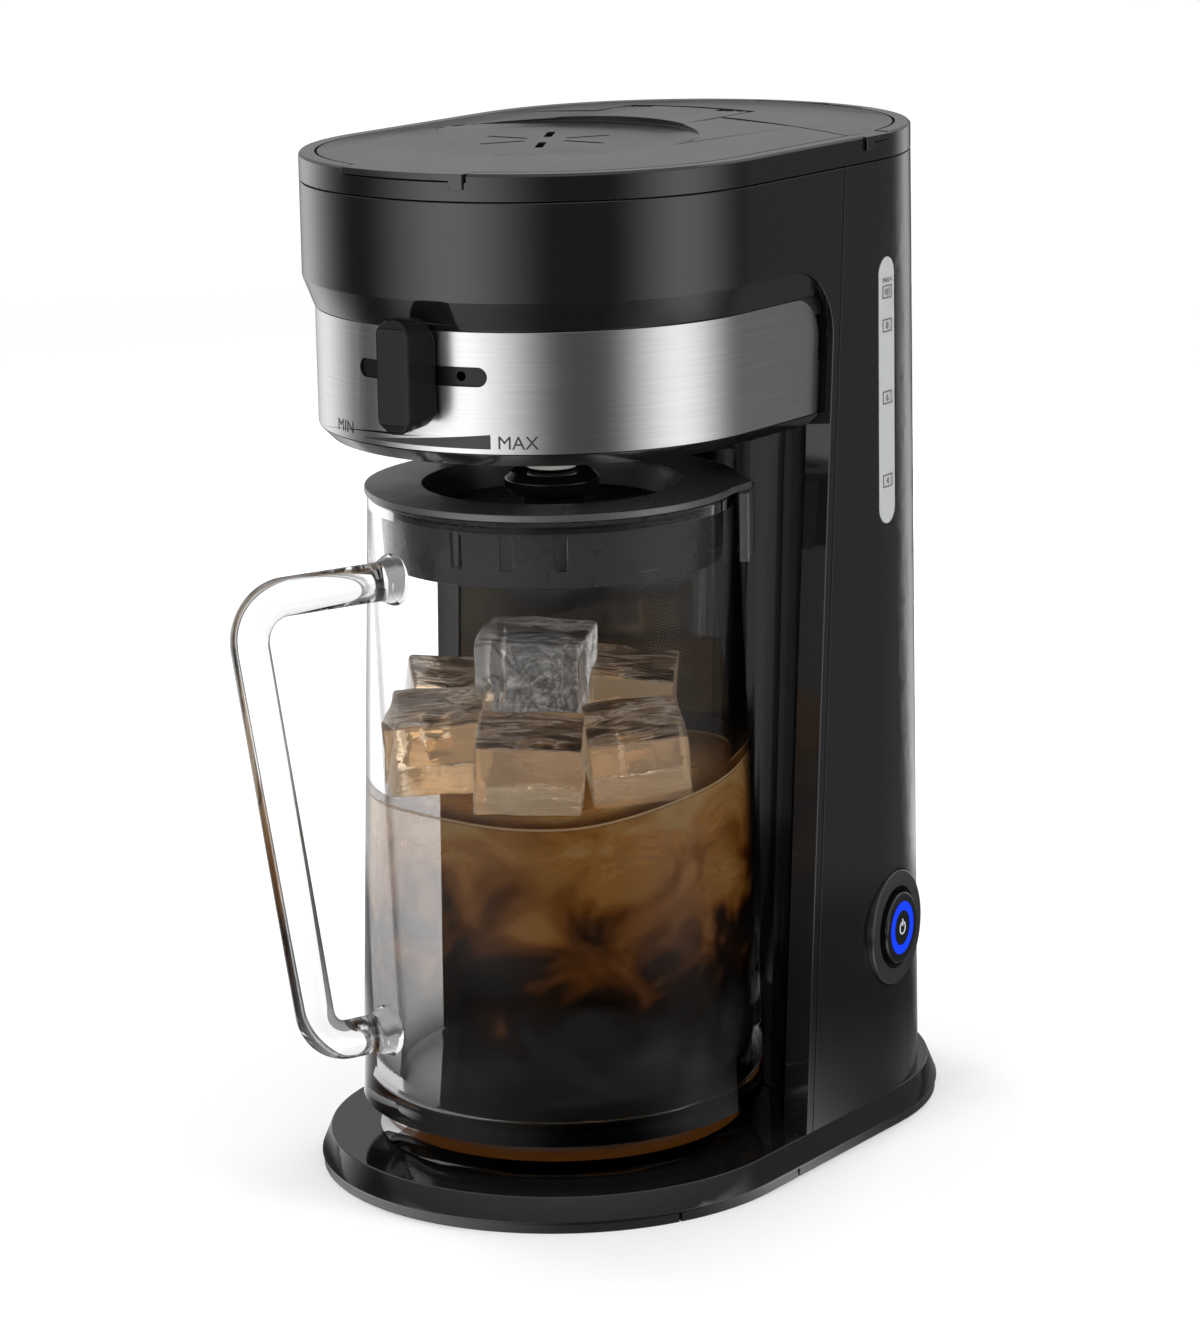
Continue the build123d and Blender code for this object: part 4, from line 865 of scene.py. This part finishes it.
# %% Ice
ICE = (
    ((-40.5, 12, 155), (33, 30, 27), (15, -4, 31)),
    ((-38.5, -19, 160), (30, 28, 27), (12, 6, 44)),
    ((-9, 35, 152), (37, 29, 26), (14, 2, 33)),
    ((-7, -1, 176), (37, 31, 31), (5, 3, 22)),
    ((27, 24, 153), (34, 30, 26), (18, -5, 39)),
    ((27, -13, 164), (30, 28, 27), (14, 5, 30)),
    ((3, -38, 150), (32, 30, 27), (5, -4, 66)),
)
CLEAR_CUBE = 3
BUBBLES = {3: 0.56, 0: 0.3, 4: 0.26}
for number, (place, size, turn) in enumerate(ICE):
    make_ice(number, place, size, turn, ice_clear if number == CLEAR_CUBE else ice_milky)
print("ice cubes", len(ICE))

# %% [markdown]
# ## Printing
# The scale under the lever is printed on the steel. Text is made flat, turned into a mesh, cut
# fine, and then each point is wrapped round the drum. Plain marks start as a flat plate instead,
# and get the thickness of ink by one extrusion.

# %% Helpers for printing
PANEL = 79.9
INK = 0.05
STRIP = 1.2
TEXT_SIZE = 10
TEXT_WELD = 0.0001


def wrap(piece, radius, angle, height):
    """Roll a flat mesh (x along, y up, in mm) round the brew axis."""
    for corner in piece.data.vertices:
        turn = math.radians(angle) + corner.co.x / radius
        out = radius + corner.co.z
        up = corner.co.y
        corner.co = Vector((out * math.sin(turn), -out * math.cos(turn), height + up)) * MM
    return piece


def cut_fine(piece, step=STRIP):
    """Slice a flat mesh into narrow strips so that it can bend."""
    low = min(v.co.x for v in piece.data.vertices)
    high = max(v.co.x for v in piece.data.vertices)
    at = low + step
    while at < high:
        open_mesh(piece)
        bpy.ops.mesh.bisect(plane_co=(at, 0, 0), plane_no=(1, 0, 0))
        close_mesh()
        at += step
    return piece


def flat_plate(width, height, mode="VERT"):
    """Flat rectangle in mm about the origin; stays in edit mode."""
    piece = new_piece(bpy.ops.mesh.primitive_plane_add, size=1.0)
    open_mesh(piece, mode)
    bpy.ops.transform.resize(value=(width, height, 1.0))
    return piece


def give_ink():
    """Thicken the open flat mesh to a skin of ink and leave edit mode."""
    bpy.ops.mesh.select_all(action="SELECT")
    bpy.ops.mesh.extrude_region_move(TRANSFORM_OT_translate={"value": (0, 0, INK)})
    close_skin()


def flat_text(words, height, width=None):
    """Text as a thin solid, centred on x, its foot at y 0, in mm."""
    piece = new_piece(bpy.ops.object.text_add, location=(0, 0, 0))
    piece.data.body = words
    piece.data.size = TEXT_SIZE
    piece.data.extrude = INK / 2
    bpy.ops.object.convert(target="MESH")
    piece = bpy.context.active_object
    corners = [v.co for v in piece.data.vertices]
    low = Vector((min(c.x for c in corners), min(c.y for c in corners), 0))
    high = Vector((max(c.x for c in corners), max(c.y for c in corners), 0))
    grow = height / (high.y - low.y)
    across = width / (high.x - low.x) if width else grow
    for corner in piece.data.vertices:
        corner.co.x = (corner.co.x - (low.x + high.x) / 2) * across
        corner.co.y = (corner.co.y - low.y) * grow
        corner.co.z += INK / 2
    open_mesh(piece)
    bpy.ops.mesh.remove_doubles(threshold=TEXT_WELD)
    close_mesh()
    return piece


# %% Scale words and wedge
WEDGE_LONG = 51.0
WEDGE_TALL = 4.8
WEDGE_TAPER = 4.5
WEDGE_ANGLE = 2.9
WEDGE_FOOT = 269.2
WEDGE_STRIP = 2.0
for words, angle, height, tall, wide in (("MIN", -24.0, 269.7, 4.0, 10.6),
                                         ("MAX", 27.9, 269.3, 4.3, 13.4)):
    label = wrap(cut_fine(flat_text(words, tall, wide)), PANEL, angle, height)
    finish_piece(label, "scale_" + words.lower(), print_black, "machine")

wedge = flat_plate(WEDGE_LONG, WEDGE_TALL)
bpy.ops.transform.translate(value=(0, WEDGE_TALL / 2, 0))
choose(wedge, lambda place, normal: place.x < 0 and place.y > WEDGE_TALL / 2, "vertices")
bpy.ops.transform.translate(value=(0, -WEDGE_TAPER, 0))
give_ink()
wrap(cut_fine(wedge, WEDGE_STRIP), PANEL, WEDGE_ANGLE, WEDGE_FOOT)
finish_piece(wedge, "scale_wedge", print_black, "machine")
print("scale printed")

# %% [markdown]
# The jug carries a fill mark of its own: a short line with its word under it, printed on the
# outside of the glass.

# %% Fill mark
MARK_ANGLE = 64.8
MARK_HEIGHT = 223.2
MARK_LONG = 7.6
MARK_THICK = 0.8
MARK_GAP = 0.05
WORD_TALL = 2.2
WORD_WIDE = 5.0
WORD_LEVEL = MARK_HEIGHT - 4
WORD_FOOT = MARK_HEIGHT - 4.6
mark_line = flat_plate(MARK_LONG, MARK_THICK)
give_ink()
wrap(cut_fine(mark_line), jug_radius(MARK_HEIGHT) + MARK_GAP, MARK_ANGLE, MARK_HEIGHT)
finish_piece(mark_line, "fill_line", print_black, "pitcher")
mark_word = flat_text("MAX", WORD_TALL, WORD_WIDE)
wrap(cut_fine(mark_word), jug_radius(WORD_LEVEL) + 2 * MARK_GAP, MARK_ANGLE, WORD_FOOT)
finish_piece(mark_word, "fill_word", print_black, "pitcher")
print("fill mark printed")

# %% [markdown]
# The gauge beside the window reads in cups: a small frame with its number at each level. The
# same flat text and thin frames are stood against the side wall, which faces +X.

# %% Gauge marks
WALL_X = 84.0
PRINT_GAP = 0.02
GAUGE_Y = 85.7
CUP_Y = GAUGE_Y - 0.4
CUP_WIDTH = 6.2
CUP_HEIGHT = 4.6
CUP_LINE = 0.45
NUMBER_LIFT = 1.1


def stand_on_side(piece, y, z):
    """Turn a flat mesh (x along, y up) so that it faces +X at the given place, in mm."""
    for corner in piece.data.vertices:
        corner.co = Vector((WALL_X + PRINT_GAP + corner.co.z, y + corner.co.x,
                            z + corner.co.y)) * MM
    return piece


def thin_frame(width, height, line):
    """Outline of a flat rectangle, drawn inwards from its edge."""
    piece = flat_plate(width, height, "FACE")
    bpy.ops.mesh.inset(thickness=line)
    bpy.ops.mesh.delete(type="FACE")
    give_ink()
    return piece


top_word = stand_on_side(flat_text("MAX", 1.7, 6.4), GAUGE_Y, 307.8)
finish_piece(top_word, "gauge_max", print_grey, "machine")
for cups, height in ((10, 302.2), (8, 290.4), (6, 265.0), (4, 235.4)):
    cup = stand_on_side(thin_frame(CUP_WIDTH, CUP_HEIGHT, CUP_LINE), CUP_Y, height + CUP_HEIGHT / 2)
    finish_piece(cup, "gauge_cup_%d" % cups, print_grey, "machine")
    mark = stand_on_side(flat_text(str(cups), 2.4), CUP_Y, height + NUMBER_LIFT)
    finish_piece(mark, "gauge_number_%d" % cups, print_grey, "machine")
print("gauge marked")

# %% [markdown]
# The power symbol is a ring with a gap and a short bar. It sits on the button's cap and moves
# in with it, so it rides on the button's body.

# %% Power symbol
BUTTON_TURN = math.radians(6.7)
SYMBOL_RADIUS = 2.2
SYMBOL_LINE = 0.24
SYMBOL_GAP = 1.0
BAR_MIDDLE = 2.0
BAR_SIZE = (0.46, 2.6, 0.4)
CAP_RISE = 0.75
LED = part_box("led_ring")
out_way = Vector((math.cos(BUTTON_TURN), math.sin(BUTTON_TURN), 0))
side_way = Vector((-math.sin(BUTTON_TURN), math.cos(BUTTON_TURN), 0))
CAP_FACE = (LED[0] + LED[1]) / 2 + out_way * CAP_RISE * MM


def stand_at(right, up, out, place):
    """Matrix that turns x, y and z to the three ways and moves the origin to a place."""
    return Matrix.Translation(place) @ Matrix((right, up, out)).transposed().to_4x4()


ring = new_piece(bpy.ops.mesh.primitive_torus_add, major_radius=SYMBOL_RADIUS * MM,
                 minor_radius=SYMBOL_LINE * MM, major_segments=48, minor_segments=8)
choose(ring, lambda place, normal: place.y > 0 and abs(place.x) < SYMBOL_GAP * MM)
bpy.ops.mesh.delete(type="FACE")
bpy.ops.mesh.select_all(action="SELECT")
bpy.ops.mesh.select_mode(type="EDGE")
bpy.ops.mesh.select_non_manifold()
bpy.ops.mesh.edge_face_add()
close_mesh()
bar = new_piece(bpy.ops.mesh.primitive_cube_add, size=1.0, location=(0, BAR_MIDDLE * MM, 0))
open_mesh(bar)
bpy.ops.transform.resize(value=[c * MM for c in BAR_SIZE])
close_mesh()
ring.select_set(True)
bpy.context.view_layer.objects.active = ring
bpy.ops.object.join()
apply_place(ring)
ring.data.transform(stand_at(side_way, Vector((0, 0, 1)), out_way, CAP_FACE))
finish_piece(ring, "power_symbol", symbol_white, "button")
print("symbol at", [round(c, 4) for c in CAP_FACE])

# %% [markdown]
# ## Studio
# A product like this stands on white paper and is lit by large soft panels. The world is white
# to the camera, to gloss and through glass, and the paper glows a little for the camera and
# through glass, while what the two shed on the machine stays at a plain level.

# %% Floor and world
MIDDLE_Y = 0.04
WHITE = (1, 1, 1, 1)
PAPER_REACH = (0.25, 2.6)
PAPER_GLOW = (0.08, 0.46)
WORLD_LIGHT = 0.62


def make_paper():
    """Paper that the camera and glass see whiter the further it lies from the machine."""
    made = start_material("white_paper", Base_Color=(0.93, 0.93, 0.93, 1), Roughness=0.9,
                          Specular_IOR_Level=0.0, Emission_Color=WHITE)
    tree = made.node_tree
    path = put(tree, "ShaderNodeLightPath").outputs
    seen = maths(tree, "MAXIMUM", path["Is Camera Ray"], path["Is Transmission Ray"])
    far = span(tree, length_of(tree, object_place(tree)), *PAPER_REACH, *PAPER_GLOW)
    return to_shader(made, Emission_Strength=maths(tree, "MULTIPLY", seen, far))


floor = new_piece(bpy.ops.mesh.primitive_plane_add, size=9.0, location=(0, MIDDLE_Y, 0))
floor.name = "floor"
floor.data.materials.append(make_paper())

world = bpy.data.worlds.new("studio")
bpy.context.scene.world = world
world.use_nodes = True
sky_tree = world.node_tree
background = sky_tree.nodes["Background"].inputs
rays = put(sky_tree, "ShaderNodeLightPath").outputs
seen = maths(sky_tree, "MAXIMUM", rays["Is Camera Ray"], rays["Is Glossy Ray"])
seen = maths(sky_tree, "MAXIMUM", seen, rays["Is Transmission Ray"])
feed(sky_tree, background["Strength"], span(sky_tree, seen, 0.0, 1.0, WORLD_LIGHT, 1.0))
feed(sky_tree, background["Color"], WHITE)
print("floor and world made")

# %% [markdown]
# Angles in the studio are counted round the machine from the camera's side, positive towards the
# gauge. The panels only light what is matt: camera, gloss and glass don't see them.

# %% Soft panels
PANEL_REACH = 1.5
PANEL_MIDDLE = 0.55
PANEL_TALL = 1.3
AIM = Vector((0, MIDDLE_Y, 0.18))


def soft_panel(name, angle, width, power):
    turn = VIEW_TURN + math.radians(angle)
    place = Vector((PANEL_REACH * math.sin(turn), MIDDLE_Y - PANEL_REACH * math.cos(turn),
                    PANEL_MIDDLE))
    lamp = new_piece(bpy.ops.object.light_add, type="AREA", location=place)
    lamp.name = name
    lamp.data.shape = "RECTANGLE"
    lamp.data.size = width
    lamp.data.size_y = PANEL_TALL
    lamp.data.energy = power
    lamp.rotation_euler = (AIM - place).to_track_quat("-Z", "Y").to_euler()
    for ray in ("camera", "glossy", "transmission"):
        setattr(lamp, "visible_" + ray, False)


soft_panel("panel_left", -38, 0.60, 16)
soft_panel("panel_right", 68, 0.62, 15)
soft_panel("panel_back_left", -138, 0.6, 12)
soft_panel("panel_back_right", 152, 0.6, 12)
print("panels set")

# %% [markdown]
# What the gloss sees is a tent round the machine. Low down it is dark, and glows softly where the
# panels stand: each glow is a smooth hump over the angle round the tent, so a rounded shell shows
# a highlight that fades on both sides. Higher up it brightens like a sky, for the lids and for
# every bevelled edge, and a ring of its floor round the base is shaded. Glass looks into its
# front half too, and finds it plain and dim there, so that the tea and the ice are lit but the
# black column behind them stays black.

# %% Light of the tent
TENT_HEIGHT = 3.0
TENT_DARK = 0.055
GLOWS = ((-44, 50, 2.35), (65, 38, 1.9), (-138, 40, 1.45), (147, 20, 0.9), (114, 40, 0.14))
THROUGH_GLASS = 0.32
LOW_END = (0.42, 0.50)
SKY = (0.29, 1.54)
SHADE_RADIUS = 0.32
SHADE_REACH = (0.06, 0.14)
SHADE_SHARE = 0.35


def angle_from(tree, angle, middle):
    """How far, in radians, a place on the tent lies from the given angle."""
    turn = maths(tree, "SUBTRACT", angle, VIEW_TURN + math.radians(middle))
    return maths(tree, "ABSOLUTE", maths(tree, "WRAP", turn, math.pi, -math.pi))


def blend(tree, share, first, second):
    """A float mix: share 0 gives the first value, 1 the second."""
    mix = put(tree, "ShaderNodeMix", {"Factor": share, "A": first, "B": second})
    return mix.outputs["Result"]


def make_tent_light():
    made = start_material("tent_light", Base_Color=(0.0, 0.0, 0.0, 1), Specular_IOR_Level=0.0,
                          Emission_Color=WHITE)
    tree = made.node_tree
    place = object_place(tree)
    at = apart(tree, place)
    angle = maths(tree, "ARCTAN2", at["X"], maths(tree, "MULTIPLY", at["Y"], -1.0))
    low = TENT_DARK
    for middle, half, brightness in GLOWS:
        hump = span(tree, angle_from(tree, angle, middle), 0.0, math.radians(half),
                    brightness, 0.0, "SMOOTHSTEP")
        low = maths(tree, "ADD", hump, low)
    path = put(tree, "ShaderNodeLightPath").outputs
    low = blend(tree, path["Is Transmission Ray"], low, THROUGH_GLASS)
    off_shade = maths(tree, "SUBTRACT", length_of(tree, place), SHADE_RADIUS)
    shade = span(tree, maths(tree, "ABSOLUTE", off_shade), *SHADE_REACH, SHADE_SHARE, 1.0)
    low = maths(tree, "MULTIPLY", low, shade)
    is_high = span(tree, at["Z"], *LOW_END)
    sky = span(tree, at["Z"], LOW_END[0], TENT_HEIGHT, *SKY)
    return to_shader(made, Emission_Strength=blend(tree, is_high, low, sky))


tent_light = make_tent_light()
print("tent light made")

# %% Tent
TENT_RADIUS = 2.2
TENT_LIFT = 0.0003
TENT_MOUTH = 0.02
FRONT_HALF = 115


def camera_angle(place):
    """Degrees round the machine from the camera's side, -180 to 180."""
    turn = math.degrees(math.atan2(place.x, -place.y) - VIEW_TURN)
    return (turn + 180) % 360 - 180


def make_tent(name, keep, rays):
    """Part of a round wall and the floor inside it, seen only by the rays that are named."""
    tent = new_piece(bpy.ops.mesh.primitive_cylinder_add, vertices=180, radius=TENT_RADIUS,
                     depth=TENT_HEIGHT, end_fill_type="NOTHING",
                     location=(0, 0, TENT_HEIGHT / 2 + TENT_LIFT))
    apply_place(tent)
    choose(tent, lambda place, normal: place.z < 0.01, "vertices")
    bpy.ops.mesh.select_mode(type="EDGE")
    bpy.ops.mesh.extrude_region_move(TRANSFORM_OT_translate={"value": (0, 0, 0)})
    bpy.ops.transform.resize(value=(TENT_MOUTH, TENT_MOUTH, 1.0), center_override=(0, 0, 0))
    choose(tent, lambda place, normal: not keep(camera_angle(place)))
    bpy.ops.mesh.delete(type="FACE")
    close_mesh()
    tent.name = name
    tent.data.materials.append(tent_light)
    for ray in ("camera", "diffuse", "glossy", "transmission", "volume_scatter", "shadow"):
        setattr(tent, "visible_" + ray, ray in rays)


make_tent("tent_front", lambda turn: abs(turn) < FRONT_HALF, ("glossy", "transmission"))
make_tent("tent_back", lambda turn: abs(turn) >= FRONT_HALF, ("glossy",))
print("tent", len(GLOWS), "glows")

# %% [markdown]
# ## Camera
# A long lens from the right and a little above: the uprights stay nearly parallel, and the
# gauge side and the front of the brew head are both in view.

# %% Camera
CAMERA_ROLL = math.radians(-1.03)
TARGET = Vector((12.72, 8.87, 179.85)) * MM
PLACE = Vector((878.58, -1227.71, 528.02)) * MM
SENSOR = 36.0
FOCAL_PIXELS = 4434.1
FRAME_PIXELS = 1320.0
lens_data = bpy.data.cameras.new("camera")
camera = bpy.data.objects.new("camera", lens_data)
bpy.context.scene.collection.objects.link(camera)
back_way = (PLACE - TARGET).normalized()
level_right = Vector((0, 0, 1)).cross(back_way).normalized()
level_up = back_way.cross(level_right)
right_way = level_right * math.cos(CAMERA_ROLL) + level_up * math.sin(CAMERA_ROLL)
up_way = level_up * math.cos(CAMERA_ROLL) - level_right * math.sin(CAMERA_ROLL)
camera.matrix_world = stand_at(right_way, up_way, back_way, PLACE)
lens_data.sensor_width = SENSOR
lens_data.lens = SENSOR * FOCAL_PIXELS / FRAME_PIXELS
bpy.context.scene.camera = camera
bpy.context.scene.view_settings.view_transform = "Standard"
print("camera", [round(c, 3) for c in PLACE])
